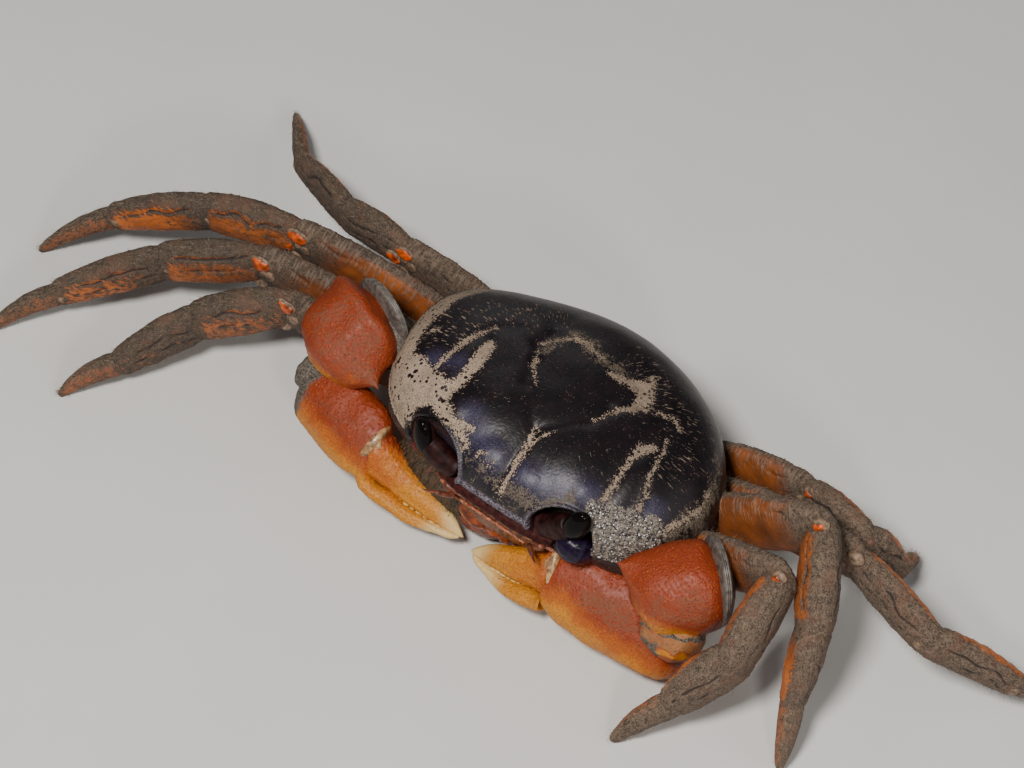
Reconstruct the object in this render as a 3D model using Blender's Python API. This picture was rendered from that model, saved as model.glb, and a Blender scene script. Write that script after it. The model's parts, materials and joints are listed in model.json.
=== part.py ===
"""Land crab resting low on its legs, claws folded before its mouth, at life size.

Metres, +Z up. The crab faces -Y and its own left is +X, so names end in _L or _R for its sides.
The origin is on the floor under the middle of the belly. The floor is z = 0: the belly plate, the
claws and the eight leg tips end there in small flats.
"""

import math

import bmesh
import bpy
import numpy as np
from mathutils import Matrix, Vector

MM = 0.001

# Driving dimensions
CARAPACE_WIDTH = 50.8 * MM
CARAPACE_FRONT = 15.2 * MM  # from the widest line forward to the front
CARAPACE_BACK = 20.6 * MM  # from the widest line back to the hind edge
WIDEST_Y = -3.0 * MM
CROWN_Y = -1.5 * MM
CROWN_Z = 26.2 * MM
EQUATOR_FRONT_Z = 18.6 * MM  # height of the widest line, which rises at the front and dips behind
EQUATOR_SIDE_Z = 16.6 * MM
EQUATOR_BACK_Z = 14.5 * MM
CARAPACE_FLOOR_Z = 10.8 * MM  # the shell's lower edge, above the leg bases
GAP = 0.3 * MM  # the thin cut between neighbouring pieces

# Trunk under the shell
THORAX_HALF_WIDTH = 12.6 * MM
THORAX_FRONT_Y = -11.2 * MM
THORAX_BACK_Y = 15.6 * MM
THORAX_BOTTOM_Z = 1.6 * MM

# Legs, numbered 2 to 5 from the front as on a real crab, whose claws are pair 1. Joints in
# millimetres with x outwards: root under the shell, knee, end of carpus, end of propodus, tip.
LEGS = {
    "R2": ((19.0, -2.0, 7.4), (45.0, -5.4, 12.5), (55.1, -13.3, 9.0), (61.5, -24.2, 4.6), (66.8, -32.0, 0.3)),
    "R3": ((21.5, 3.4, 8.2), (52.5, -1.6, 12.6), (65.3, -9.0, 10.2), (76.3, -20.5, 5.2), (82.7, -30.0, 0.3)),
    "R4": ((21.0, 8.8, 8.8), (50.5, 4.2, 14.8), (64.7, 0.6, 13.0), (78.1, -5.6, 7.2), (86.5, -14.0, 0.3)),
    "R5": ((16.8, 13.2, 9.4), (36.7, 11.8, 14.4), (48.7, 13.0, 12.8), (63.3, 20.2, 6.4), (73.3, 31.2, 0.3)),
    "L2": ((18.5, -2.6, 7.4), (38.7, -6.2, 23.6), (38.9, -16.0, 16.4), (34.3, -21.6, 7.0), (29.3, -28.4, 0.3)),
    "L3": ((19.4, 3.0, 8.2), (39.3, 2.6, 26.0), (45.1, -6.6, 19.0), (46.9, -11.8, 8.6), (49.9, -18.0, 0.3)),
    "L4": ((20.0, 8.8, 8.8), (43.5, 6.0, 18.4), (57.5, 4.0, 14.0), (69.7, 9.6, 7.0), (79.7, 16.0, 0.3)),
    "L5": ((16.8, 13.4, 9.4), (31.9, 13.4, 14.6), (42.3, 10.8, 16.4), (47.3, 14.6, 7.2), (47.3, 22.0, 0.3)),
}
LEG_SIZE = {2: 0.98, 3: 1.06, 4: 1.04, 5: 0.92}  # thickness against the third pair
OUTER_SIZE = {2: 1.12, 3: 1.06, 4: 1.04, 5: 0.92}  # the same for the joints past the knee
JOINT_NAMES = ("merus", "carpus", "propodus", "dactyl")
# Half depth (in the leg's plane) and half thickness at start, middle and end of each joint.
LEG_SECTIONS = {
    "base": ((2.6, 2.7, 2.6), (1.4, 1.9, 1.8)),
    "merus": ((2.8, 4.3, 3.1), (1.7, 2.1, 1.9)),
    "carpus": ((2.8, 3.7, 3.2), (1.8, 2.3, 2.1)),
    "propodus": ((3.1, 3.2, 2.2), (1.9, 2.0, 1.5)),
    "dactyl": ((2.0, 1.5, 0.5), (1.4, 1.15, 0.45)),
}
LEG_SIDES = 8
LEG_STATIONS = {"base": 4, "merus": 7, "carpus": 6, "propodus": 6, "dactyl": 6}

SHELL = ("shell_dark", (0.035, 0.025, 0.035), 0.35)
CREAM = ("underside", (0.55, 0.36, 0.20), 0.6)
ORANGE = ("claw_orange", (0.62, 0.17, 0.03), 0.45)
LEG_BROWN = ("leg_brown", (0.23, 0.16, 0.13), 0.75)
MOUTH_RED = ("mouth_red", (0.45, 0.12, 0.05), 0.5)
EYE_BLACK = ("eye_black", (0.01, 0.008, 0.008), 0.08)
STALK = ("eyestalk", (0.09, 0.02, 0.02), 0.3)


def clear_scene():
    for obj in list(bpy.data.objects):
        bpy.data.objects.remove(obj)


def material(finish):
    name, colour, roughness = finish
    found = bpy.data.materials.get(name)
    if found:
        return found
    made = bpy.data.materials.new(name)
    made.use_nodes = True
    shader = made.node_tree.nodes["Principled BSDF"]
    shader.inputs["Base Color"].default_value = (*colour, 1.0)
    shader.inputs["Roughness"].default_value = roughness
    shader.inputs["Metallic"].default_value = 0.0
    return made


def add_object(name, mesh, finish):
    mesh.materials.append(material(finish))
    mesh.shade_smooth()
    mesh.set_sharp_from_angle(angle=math.radians(50))
    obj = bpy.data.objects.new(name, mesh)
    bpy.context.scene.collection.objects.link(obj)
    return obj


def loft(name, rings, finish, start_point=None, end_point=None):
    """A closed body through equal rings of points, each end a flat cap or drawn to one point."""
    bm = bmesh.new()
    loops = [[bm.verts.new(point) for point in ring] for ring in rings]
    sides = len(loops[0])
    for low, high in zip(loops, loops[1:]):
        for k in range(sides):
            after = (k + 1) % sides
            bm.faces.new((low[k], low[after], high[after], high[k]))
    for loop, tip in ((loops[0], start_point), (loops[-1], end_point)):
        if tip is None:
            bm.faces.new(loop)
            continue
        pole = bm.verts.new(tip)
        for k in range(sides):
            bm.faces.new((loop[k], loop[(k + 1) % sides], pole))
    bmesh.ops.recalc_face_normals(bm, faces=bm.faces)
    mesh = bpy.data.meshes.new(name)
    bm.to_mesh(mesh)
    bm.free()
    return add_object(name, mesh, finish)


def through(t, values):
    """A smooth curve over t = 0..1 that passes start, middle and end values."""
    start, middle, end = values
    control = 2 * middle - (start + end) / 2
    return (1 - t) ** 2 * start + 2 * t * (1 - t) * control + t * t * end


def superellipse(angle, power):
    """Unit superellipse point, round at power 2 and boxier above it."""
    c, s = math.cos(angle), math.sin(angle)
    return (
        math.copysign(abs(c) ** (2 / power), c),
        math.copysign(abs(s) ** (2 / power), s),
    )


def on_floor(point):
    return Vector((point.x, point.y, max(point.z, 0.0)))


def cut_back(point, along, plane_point, plane_normal, onto=False):
    """Slides a point along its limb until it is behind the cutting plane by half the gap.

    With onto, a point that stops short of the plane is drawn out to it as well.
    """
    over = (point - plane_point).dot(plane_normal) + GAP / 2
    lean = along.dot(plane_normal)
    return point - along * (over / lean) if over > 0 or onto else point


def limb_joint(name, start, end, cuts, depths, thicknesses, flat_normal, finish,
               stations=6, sides=LEG_SIDES, arch=0.0, power=2.3):
    """One joint of a limb: superelliptic rings from start to end, trimmed by the planes in cuts.

    cuts holds (point, outward normal) for the start and the end. flat_normal is the direction
    across the limb's plane, in which the joint is thin. arch lifts the middle of the axis.
    """
    along = (end - start).normalized()
    thin = (flat_normal - along * flat_normal.dot(along)).normalized()
    deep = thin.cross(along)
    if deep.z < 0:
        deep = -deep
    rings = []
    for t in np.linspace(0, 1, stations):
        centre = start.lerp(end, float(t)) + deep * (arch * math.sin(math.pi * t))
        ring = []
        for k in range(sides):
            u, v = superellipse(2 * math.pi * (k + 0.5) / sides, power)
            point = centre + deep * (u * through(t, depths)) + thin * (v * through(t, thicknesses))
            for (plane_point, plane_normal), way, share in zip(cuts, (-along, along), (0, 1)):
                point = cut_back(point, way, plane_point, plane_normal, onto=t == share)
            ring.append(on_floor(point))
        rings.append(ring)
    return loft(name, rings, finish)


def mitre(before, joint, after):
    """The plane that halves a bend: its point and its normal, which points onwards."""
    normal = ((joint - before).normalized() + (after - joint).normalized()).normalized()
    return joint, normal


# Body -----------------------------------------------------------------------------------------

OUTLINE_POWER_FRONT = 2.35
OUTLINE_POWER_BACK = 1.95
CROWN_POWER = 2.35
UNDERCUT_SIDE = 0.60  # the shell's lower edge against its widest line
UNDERCUT_FRONT = 0.74
UNDERCUT_BACK = 0.80
SHELL_COLUMNS = 40
SHELL_ROWS_UP = 9
SHELL_ROWS_DOWN = 4


def outline(turn):
    """Point of the shell's widest line, and its height, at a turn from the front (0) to the left."""
    s, c = math.sin(turn), -math.cos(turn)
    forward = c < 0
    power = OUTLINE_POWER_FRONT if forward else OUTLINE_POWER_BACK
    reach = (abs(s) ** power + abs(c) ** power) ** (-1 / power)
    length = CARAPACE_FRONT if forward else CARAPACE_BACK
    ends_z = EQUATOR_FRONT_Z if forward else EQUATOR_BACK_Z
    height = EQUATOR_SIDE_Z + (ends_z - EQUATOR_SIDE_Z) * abs(c) ** 2.5
    return CARAPACE_WIDTH / 2 * reach * s, WIDEST_Y + length * reach * c, height


def undercut(turn):
    """How far in the lower edge stands at this turn, as a share of the widest line."""
    c = math.cos(turn)
    ends = UNDERCUT_FRONT if c > 0 else UNDERCUT_BACK
    return UNDERCUT_SIDE + (ends - UNDERCUT_SIDE) * c * c


def shell_point(turn, level):
    """Shell surface at a turn and a level: -1 lower edge, 0 widest line, 1 crown."""
    x, y, z = outline(turn)
    if level >= 0:
        share = max(0.0, 1 - level**CROWN_POWER) ** (1 / CROWN_POWER)
        height = z + (CROWN_Z - z) * level
    else:
        inner = undercut(turn)
        share = inner + (1 - inner) * math.sqrt(1 - level * level)
        height = z + (z - CARAPACE_FLOOR_Z) * level
    return Vector((x * share, CROWN_Y + (y - CROWN_Y) * share, height))


def carapace():
    turns = [2 * math.pi * (k + 0.5) / SHELL_COLUMNS for k in range(SHELL_COLUMNS)]
    down = [-math.sin(math.pi / 2 * (1 - i / SHELL_ROWS_DOWN)) for i in range(SHELL_ROWS_DOWN)]
    up = [math.sin(math.pi / 2 * i / SHELL_ROWS_UP) for i in range(SHELL_ROWS_UP)]
    rings = [[shell_point(turn, level) for turn in turns] for level in down + up]
    crown = Vector((0, CROWN_Y, CROWN_Z))
    shell = loft("carapace", rings, SHELL, end_point=crown)
    for side in (1, -1):
        cut_away(shell, orbit_cutter(side))
    return shell


def cut_away(target, cutter):
    cutter.hide_render = True
    cutter.display_type = "WIRE"
    cut = target.modifiers.new("cut", "BOOLEAN")
    cut.operation = "DIFFERENCE"
    cut.solver = "EXACT"
    cut.object = cutter


def make_room(target_name, neighbour_names):
    """Cuts slightly grown copies of the neighbours out of a piece, which leaves the gap between."""
    target = bpy.data.objects[target_name]
    for name in neighbour_names:
        mesh = bpy.data.objects[name].data.copy()
        for vertex, normal in zip(mesh.vertices, [n.vector.copy() for n in mesh.vertex_normals]):
            vertex.co += normal * GAP
        room = bpy.data.objects.new(f"room_{target_name}_{name}", mesh)
        bpy.context.scene.collection.objects.link(room)
        cut_away(target, room)


ORBIT_CENTRE = Vector((11.3 * MM, -16.3 * MM, 20.0 * MM))
ORBIT_AXES = Vector((5.7 * MM, 3.9 * MM, 4.1 * MM))
ORBIT_TURN = 22.0  # degrees that the orbits face outwards


def ellipsoid(name, centre, axes, turn, finish, segments=12, rings=8):
    """A closed ellipsoid turned about Z, made from Blender's sphere."""
    bm = bmesh.new()
    bmesh.ops.create_uvsphere(bm, u_segments=segments, v_segments=rings, radius=1.0)
    place = Matrix.Translation(centre) @ Matrix.Rotation(math.radians(turn), 4, "Z")
    bmesh.ops.transform(bm, matrix=place @ Matrix.Diagonal((*axes, 1.0)), verts=bm.verts)
    mesh = bpy.data.meshes.new(name)
    bm.to_mesh(mesh)
    bm.free()
    return add_object(name, mesh, finish)


def mirrored(point, side):
    return Vector((point[0] * side, point[1], point[2]))


def orbit_cutter(side):
    name = "orbit_cutter" + ("_L" if side > 0 else "_R")
    return ellipsoid(name, mirrored(ORBIT_CENTRE, side), ORBIT_AXES, side * ORBIT_TURN, STALK,
                     segments=14, rings=8)


CORNEA_CENTRES = {1: (12.3, -16.0, 22.6), -1: (12.9, -16.4, 21.0)}  # the left eye stands higher
CORNEA_AXES = Vector((1.6 * MM, 1.5 * MM, 3.1 * MM))
STALK_START = (6.6, -16.2, 18.2)


def eye(side):
    """A stalk that lies in the orbit and the upright black cornea at its outer end."""
    tag = "_L" if side > 0 else "_R"
    centre = mirrored([value * MM for value in CORNEA_CENTRES[side]], side)
    ellipsoid("cornea" + tag, centre, CORNEA_AXES, side * ORBIT_TURN, EYE_BLACK,
              segments=12, rings=8)
    start = mirrored([value * MM for value in STALK_START], side)
    along = (centre - start).normalized()
    stop = centre - along * (CORNEA_AXES.x + 2.5 * GAP)
    limb_joint("eyestalk" + tag, start, stop, ((start, -along), (stop, along)),
               (1.1 * MM, 1.7 * MM, 1.9 * MM), (0.9 * MM, 1.4 * MM, 1.6 * MM),
               Vector((0, 1, 0)), STALK, stations=5)


def thorax():
    """Trunk under the shell: the breast plates, narrowing to the belly, and the mouth frame."""
    middle = (THORAX_FRONT_Y + THORAX_BACK_Y) / 2
    half_length = (THORAX_BACK_Y - THORAX_FRONT_Y) / 2
    top = CARAPACE_FLOOR_Z - GAP
    rings = []
    for share, z in ((0.72, THORAX_BOTTOM_Z), (0.93, THORAX_BOTTOM_Z + 2.2 * MM), (1.0, 7.0 * MM), (0.98, top)):
        ring = []
        for k in range(24):
            u, v = superellipse(2 * math.pi * (k + 0.5) / 24, 2.6)
            ring.append(Vector((THORAX_HALF_WIDTH * share * u, middle + half_length * share * v, z)))
        rings.append(ring)
    return loft("thorax", rings, CREAM)


def pleon():
    """Tail flap folded flat under the trunk, broad behind and narrowing forward: the belly plate."""
    top = THORAX_BOTTOM_Z - GAP
    rings = []
    for z, share in ((0.0, 0.9), (top, 1.0)):
        ring = []
        for y, half in ((-3.5, 1.2), (0.0, 2.6), (5.0, 4.0), (9.5, 5.4), (11.5, 4.4)):
            ring.append(Vector((half * share * MM, (3.5 + (y - 3.5) * share) * MM, z)))
        ring += [mirrored(point, -1) for point in reversed(ring)]
        rings.append(ring)
    return loft("pleon", rings, CREAM)


def mouth(side):
    """Outer jaw plate (third maxilliped) in front of the trunk, under the shell's front."""
    tag = "_L" if side > 0 else "_R"
    face_y = THORAX_FRONT_Y - GAP
    rings = []
    for depth, share in ((0.0, 1.0), (1.5, 0.98), (2.4, 0.7)):
        ring = []
        for k in range(10):
            u, v = superellipse(2 * math.pi * (k + 0.5) / 10, 2.5)
            ring.append(mirrored((3.05 * MM + 2.7 * MM * share * u, face_y - depth * MM,
                                  8.0 * MM + 4.8 * MM * share * v), side))
        rings.append(ring)
    return loft("maxilliped" + tag, rings, MOUTH_RED)


def antenna(side):
    """Short feeler between the front and the eye."""
    tag = "_L" if side > 0 else "_R"
    start = mirrored((6.2 * MM, -18.0 * MM, 14.2 * MM), side)
    end = mirrored((8.6 * MM, -20.6 * MM, 16.2 * MM), side)
    along = (end - start).normalized()
    return limb_joint("antenna" + tag, start, end, ((start, -along), (end, along)),
                      (0.6 * MM, 0.42 * MM, 0.27 * MM), (0.6 * MM, 0.42 * MM, 0.27 * MM),
                      Vector((0, 0, 1)).cross(along), MOUTH_RED, stations=4, sides=6, power=2.0)


# Walking legs ---------------------------------------------------------------------------------

def trunk_plane(root):
    """Point and outward normal of the upright plane that touches the trunk nearest a limb root."""
    middle = Vector((0, (THORAX_FRONT_Y + THORAX_BACK_Y) / 2, 0))
    half_length = (THORAX_BACK_Y - THORAX_FRONT_Y) / 2
    way = Vector((root.x / THORAX_HALF_WIDTH, (root.y - middle.y) / half_length, 0))
    power = 2.6
    reach = (abs(way.x) ** power + abs(way.y) ** power) ** (-1 / power)
    point = Vector((THORAX_HALF_WIDTH * way.x * reach, middle.y + half_length * way.y * reach, 0))
    normal = Vector((
        math.copysign(abs(way.x * reach) ** (power - 1), way.x) / THORAX_HALF_WIDTH,
        math.copysign(abs(way.y * reach) ** (power - 1), way.y) / half_length,
        0,
    )).normalized()
    return point, normal


def leg(tag):
    side, number = (1 if tag[0] == "L" else -1), int(tag[1])
    points = [mirrored([value * MM for value in point], side) for point in LEGS[tag]]
    trunk_point, trunk_normal = trunk_plane(points[0])
    hip = Vector((trunk_point.x, trunk_point.y, 6.6 * MM))
    chain = [hip, *points]
    planes = [(hip, trunk_normal)]
    planes += [mitre(a, b, c) for a, b, c in zip(chain, chain[1:], chain[2:])]
    planes.append((chain[-1], (chain[-1] - chain[-2]).normalized()))
    for i, joint_name in enumerate(("base", *JOINT_NAMES)):
        start, end = chain[i], chain[i + 1]
        depths, thicknesses = LEG_SECTIONS[joint_name]
        size = (LEG_SIZE if i < 2 else OUTER_SIZE)[number] * MM
        limb_joint(
            f"leg_{tag}_{joint_name}", start, end,
            ((planes[i][0], -planes[i][1]), planes[i + 1]),
            tuple(depth * size for depth in depths), tuple(thick * size for thick in thicknesses),
            Vector((0, 0, 1)).cross(end - start), LEG_BROWN, stations=LEG_STATIONS[joint_name],
            arch=0.9 * MM if joint_name == "dactyl" else 0.0,
        )


# Claws ----------------------------------------------------------------------------------------

# Joints in millimetres with x outwards: hip at the trunk, elbow, wrist, then the middle of the
# palm's heel and of its far end, where the fingers start, and the point where they meet.
# carpus and palm: half depth and half thickness of each. lean: degrees that the palm's crest
# leans back towards the face.
CLAWS = {
    "L": {"hip": (9.5, -8.0, 6.4), "elbow": (30.1, -9.4, 18.0), "wrist": (23.9, -16.2, 14.4),
          "heel": (28.1, -15.2, 7.2), "knuckle": (10.7, -16.2, 9.2), "tip": (-2.3, -18.6, 4.2),
          "merus": (3.6, 3.2), "carpus": (6.5, 6.2), "palm": (6.1, 4.0), "lean": 35.0},
    "R": {"hip": (9.5, -8.0, 6.4), "elbow": (30.5, -2.6, 19.2), "wrist": (33.9, -12.2, 15.4),
          "heel": (36.7, -12.3, 9.2), "knuckle": (22.9, -16.4, 8.6), "tip": (4.9, -16.6, 4.6),
          "merus": (3.3, 2.9), "carpus": (5.8, 6.4), "palm": (5.1, 3.5), "lean": 40.0},
}
PALM_STATIONS = (  # share of the length, then of half depth and half thickness
    (-0.06, 0.55, 0.55), (0.06, 0.84, 0.84), (0.30, 1.0, 1.0), (0.60, 1.03, 1.02),
    (0.86, 0.96, 0.92), (1.0, 0.84, 0.80),
)
FIXED_FINGER = (  # share of the length, height of the middle, then half depth and thickness
    (0.14, -0.77, 0.22, 0.58), (0.35, -0.73, 0.20, 0.50), (0.65, -0.62, 0.16, 0.40),
    (0.88, -0.43, 0.11, 0.26), (1.0, -0.30, 0.06, 0.12),
)
MOVING_FINGER = (
    (0.06, 0.07, 0.58, 0.72), (0.25, 0.03, 0.50, 0.62), (0.50, 0.01, 0.42, 0.50),
    (0.75, 0.01, 0.34, 0.38), (0.92, -0.01, 0.20, 0.24), (1.0, -0.03, 0.07, 0.11),
)


def claw(tag):
    side = 1 if tag == "L" else -1
    plan = CLAWS[tag]
    hip, elbow, wrist, heel, knuckle, tip = (
        mirrored([value * MM for value in plan[key]], side)
        for key in ("hip", "elbow", "wrist", "heel", "knuckle", "tip")
    )
    trunk_point, trunk_normal = trunk_plane(hip)
    hip = Vector((trunk_point.x, trunk_point.y, hip.z))
    upright = Vector((0, 0, 1))
    elbow_cut = mitre(hip, elbow, wrist)
    deep, thick = (value * MM for value in plan["merus"])
    limb_joint(
        f"claw_{tag}_merus", hip, elbow, ((hip, -trunk_normal), elbow_cut),
        (0.72 * deep, deep, deep), (0.72 * thick, thick, thick),
        upright.cross(elbow - hip), ORANGE, stations=6, sides=10,
    )
    carpus(tag, plan, elbow, wrist, elbow_cut)
    palm(tag, plan, heel, knuckle, tip)


def carpus(tag, plan, elbow, wrist, elbow_cut):
    """The swollen joint before the palm, with a spine at its inner corner."""
    deep, thick = (value * MM for value in plan["carpus"])
    along = (wrist - elbow).normalized()
    across = Vector((0, 0, 1)).cross(along).normalized()
    up = along.cross(across)
    side = 1 if tag == "L" else -1
    inner = across if across.x * side < 0 else -across
    if up.z < 0:
        up = -up
    rings = []
    for place, share, sway in ((-0.06, 0.5, 0.0), (0.08, 0.82, 0.0), (0.3, 0.98, 0.02), (0.55, 1.0, 0.06),
                               (0.8, 0.9, 0.12), (1.0, 0.72, 0.16), (1.12, 0.45, 0.2)):
        centre = elbow.lerp(wrist, place) + inner * ((sway + (0.0 if side > 0 else -0.12)) * thick)
        rings.append(section(centre, up, across, share * deep, share * thick, 14))
    rings = [
        [cut_back(p, -along, elbow_cut[0], -elbow_cut[1]) for p in ring] for ring in rings
    ]
    loft(f"claw_{tag}_carpus", rings, ORANGE)


def palm(tag, plan, heel, knuckle, tip):
    """Deep palm with its fixed lower finger, and the movable upper finger."""
    deep, thick = (value * MM for value in plan["palm"])
    lean = math.radians(plan["lean"])
    crest = Vector((0, math.sin(lean), math.cos(lean)))
    along = (knuckle - heel).normalized()
    up = (crest - along * crest.dot(along)).normalized()
    across = along.cross(up).normalized()
    rings = [
        section(heel.lerp(knuckle, place), up, across, high * deep, wide * thick, 14)
        for place, high, wide in PALM_STATIONS
    ]
    way = (tip - knuckle).normalized()
    up = (crest - way * crest.dot(way)).normalized()
    across = way.cross(up).normalized()
    rings += finger(knuckle, tip, up, across, deep, thick, FIXED_FINGER, 14)
    loft(f"claw_{tag}_palm", rings, ORANGE)
    rings = finger(knuckle, tip, up, across, deep, thick, MOVING_FINGER, 12)
    loft(f"claw_{tag}_dactyl", rings, ORANGE)


def finger(knuckle, tip, up, across, deep, thick, stations, sides):
    return [
        section(knuckle.lerp(tip, place) + up * (middle * deep), up, across,
                high * deep, wide * thick, sides)
        for place, middle, high, wide in stations
    ]


def section(centre, up, across, high, thick, sides):
    ring = []
    for k in range(sides):
        u, v = superellipse(2 * math.pi * (k + 0.5) / sides, 2.2)
        ring.append(on_floor(centre + up * (u * high) + across * (v * thick)))
    return ring


# Pieces that lie against each other: the first gives way to the ones named after it.
NEIGHBOURS = {
    "carapace": ("claw_L_palm", "claw_L_dactyl", "leg_L2_merus", "leg_L3_merus", "claw_L_merus",
                 "claw_R_merus", "claw_L_carpus", "cornea_L", "eyestalk_L", "eyestalk_R",
                 "maxilliped_L", "maxilliped_R"),
    "claw_L_palm": ("claw_L_carpus", "claw_L_dactyl"),
    "claw_R_palm": ("claw_R_carpus", "claw_R_dactyl"),
    "claw_L_merus": ("claw_L_palm",),
    "claw_R_merus": ("leg_R2_merus",),
    "maxilliped_L": ("claw_L_dactyl",),
    "leg_L2_merus": ("claw_L_merus",),
    "leg_R2_merus": ("claw_R_carpus",),
}


def main():
    clear_scene()
    carapace()
    thorax()
    pleon()
    for side in (1, -1):
        eye(side)
        mouth(side)
        antenna(side)
    for tag in ("L", "R"):
        claw(tag)
    for tag in LEGS:
        leg(tag)
    for target, neighbours in NEIGHBOURS.items():
        make_room(target, neighbours)


main()
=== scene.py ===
"""Land crab at life size, resting low on its legs with its claws folded before its mouth."""

import json
import math

import bpy
import numpy as np
from mathutils import Matrix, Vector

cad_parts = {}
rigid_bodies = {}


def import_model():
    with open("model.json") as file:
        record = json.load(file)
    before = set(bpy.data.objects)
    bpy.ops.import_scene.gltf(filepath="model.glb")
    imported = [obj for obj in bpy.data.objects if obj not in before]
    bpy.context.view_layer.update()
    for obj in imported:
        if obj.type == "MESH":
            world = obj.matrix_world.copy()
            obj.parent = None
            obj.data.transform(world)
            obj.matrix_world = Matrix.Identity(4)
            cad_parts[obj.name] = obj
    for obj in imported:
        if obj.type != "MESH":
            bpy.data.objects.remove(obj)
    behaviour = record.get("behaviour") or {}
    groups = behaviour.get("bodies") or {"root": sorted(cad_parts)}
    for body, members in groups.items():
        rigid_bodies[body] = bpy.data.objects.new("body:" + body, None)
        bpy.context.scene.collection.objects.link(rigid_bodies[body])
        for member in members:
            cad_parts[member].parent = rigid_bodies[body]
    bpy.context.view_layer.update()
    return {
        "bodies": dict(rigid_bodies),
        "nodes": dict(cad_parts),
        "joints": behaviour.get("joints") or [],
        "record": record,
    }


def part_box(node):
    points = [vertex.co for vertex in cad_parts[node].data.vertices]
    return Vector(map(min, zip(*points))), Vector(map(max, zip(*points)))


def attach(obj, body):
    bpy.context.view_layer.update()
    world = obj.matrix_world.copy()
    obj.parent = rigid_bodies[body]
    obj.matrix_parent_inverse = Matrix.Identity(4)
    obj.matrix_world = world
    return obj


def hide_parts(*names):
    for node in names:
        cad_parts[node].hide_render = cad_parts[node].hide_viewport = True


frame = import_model()

bl_info = {
    "name": "Land crab",
    "version": (1, 0, 0),
    "blender": (4, 5, 0),
    "location": "3D View > Sidebar > Crab",
    "description": "Makes the shell, eyes, mouth, claws and legs of a life-size land crab",
    "category": "Add Mesh",
}

MM = 0.001  # shapes are worked out in millimetres and put into meshes in metres
SHELL_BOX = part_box("carapace")
SHELL_WIDTH = SHELL_BOX[1][0] - SHELL_BOX[0][0]


# Sizes and colours ------------------------------------------------------------------------------

def length(name, description, default):
    """A length in metres that a user may change."""
    return bpy.props.FloatProperty(
        name=name, description=description, default=default, subtype="DISTANCE", unit="LENGTH",
        precision=5, min=0.0,
    )


def colour(name, description, default):
    """A colour that a user may change."""
    return bpy.props.FloatVectorProperty(
        name=name, description=description, default=default, subtype="COLOR", size=3,
        min=0.0, max=1.0,
    )


class CrabShellSettings(bpy.types.PropertyGroup):
    """Sizes and colours of the shell and what stands in its front edge."""

    width: length("Width", "Widest line of the shell, from side to side", SHELL_WIDTH)
    groove: length("Groove depth", "Depth of the furrows between the fields of the back", 0.00026)
    bead: length("Rim height", "Height of the beaded rim along the front and sides", 0.00024)
    dark: colour("Shell", "Bare shell", (0.0045, 0.0030, 0.0045))
    # The front fields' colour is a painted sheen: a bluish highlight mixed into the bare shell.
    sheen: colour("Front fields", "Bluish bloom on the swollen fields in front",
                  (0.040, 0.034, 0.075))
    mud: colour("Dry mud", "Dry mud in the furrows and along the rim", (0.335, 0.250, 0.180))
    wet: colour("Wet mud", "Wet mud behind the left eye", (0.21, 0.175, 0.135))
    hollow: colour("Eye hollow", "Polished red-brown lining of the eye hollows",
                   (0.024, 0.0048, 0.0045))
    cornea: colour("Cornea", "Upright black end of the eye", (0.004, 0.003, 0.003))
    mouth: colour("Mouth parts", "Jaw plates and feelers", (0.17, 0.030, 0.005))


class CrabClawSettings(bpy.types.PropertyGroup):
    """Colours and grain of the claws."""

    grain: length("Grain", "Height of the grains on the claws", 0.00007)
    red: colour("Red-orange", "Crests and upper faces", (0.25, 0.030, 0.0022))
    orange: colour("Yellow-orange", "Lower edges and roots of the fingers", (0.46, 0.108, 0.004))
    cream: colour("Cream", "Ends of the fingers", (0.62, 0.43, 0.17))
    dust: colour("Dust", "Scaly grey-pink bloom in the middle of the plates", (0.130, 0.074, 0.041))
    skin: colour("Joint skin", "Soft skin between the plates", (0.105, 0.092, 0.08))


class CrabLegSettings(bpy.types.PropertyGroup):
    """Colours and bristles of the legs and the plates under the body."""

    felt: colour("Felt", "Dusty felt that covers the legs", (0.110, 0.076, 0.052))
    crack: colour("Cracks", "Long dark lines where the felt is split", (0.022, 0.012, 0.010))
    bare: colour("Bare edge", "Smooth orange edges where the felt is worn off", (0.60, 0.15, 0.015))
    belly: colour("Underside", "Breast plates and tail flap", (0.55, 0.36, 0.20))
    bristle: length("Bristle", "Usual length of a bristle on the legs", 0.0011)


class CrabStageSettings(bpy.types.PropertyGroup):
    """Camera and floor."""

    azimuth: bpy.props.FloatProperty(
        name="Azimuth",
        description="Camera's angle round the crab, from straight ahead to its left",
        default=math.radians(31.0), subtype="ANGLE", unit="ROTATION",
    )
    elevation: bpy.props.FloatProperty(
        name="Elevation", description="Camera's angle above the floor",
        default=math.radians(55.0), subtype="ANGLE", unit="ROTATION",
    )
    roll: bpy.props.FloatProperty(
        name="Roll", description="Camera's turn about its own line of sight",
        default=math.radians(6.3), subtype="ANGLE", unit="ROTATION",
    )
    distance: length("Distance", "From the camera to the point that it looks at", 0.4026)
    floor: colour("Floor", "Plain pale floor", (0.62, 0.61, 0.59))


# Numbers ----------------------------------------------------------------------------------------

def unit(way):
    """The same direction with length 1: way / |way|."""
    return way / np.linalg.norm(way, axis=-1, keepdims=True)


def smooth(low, high, value):
    """Rises from 0 at low to 1 at high as 3t^2 - 2t^3."""
    t = np.clip((value - low) / (high - low), 0.0, 1.0)
    return t * t * (3 - 2 * t)


def bell(value, width):
    """exp(-(value / width)^2)."""
    return np.exp(-((value / width) ** 2))


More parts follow.
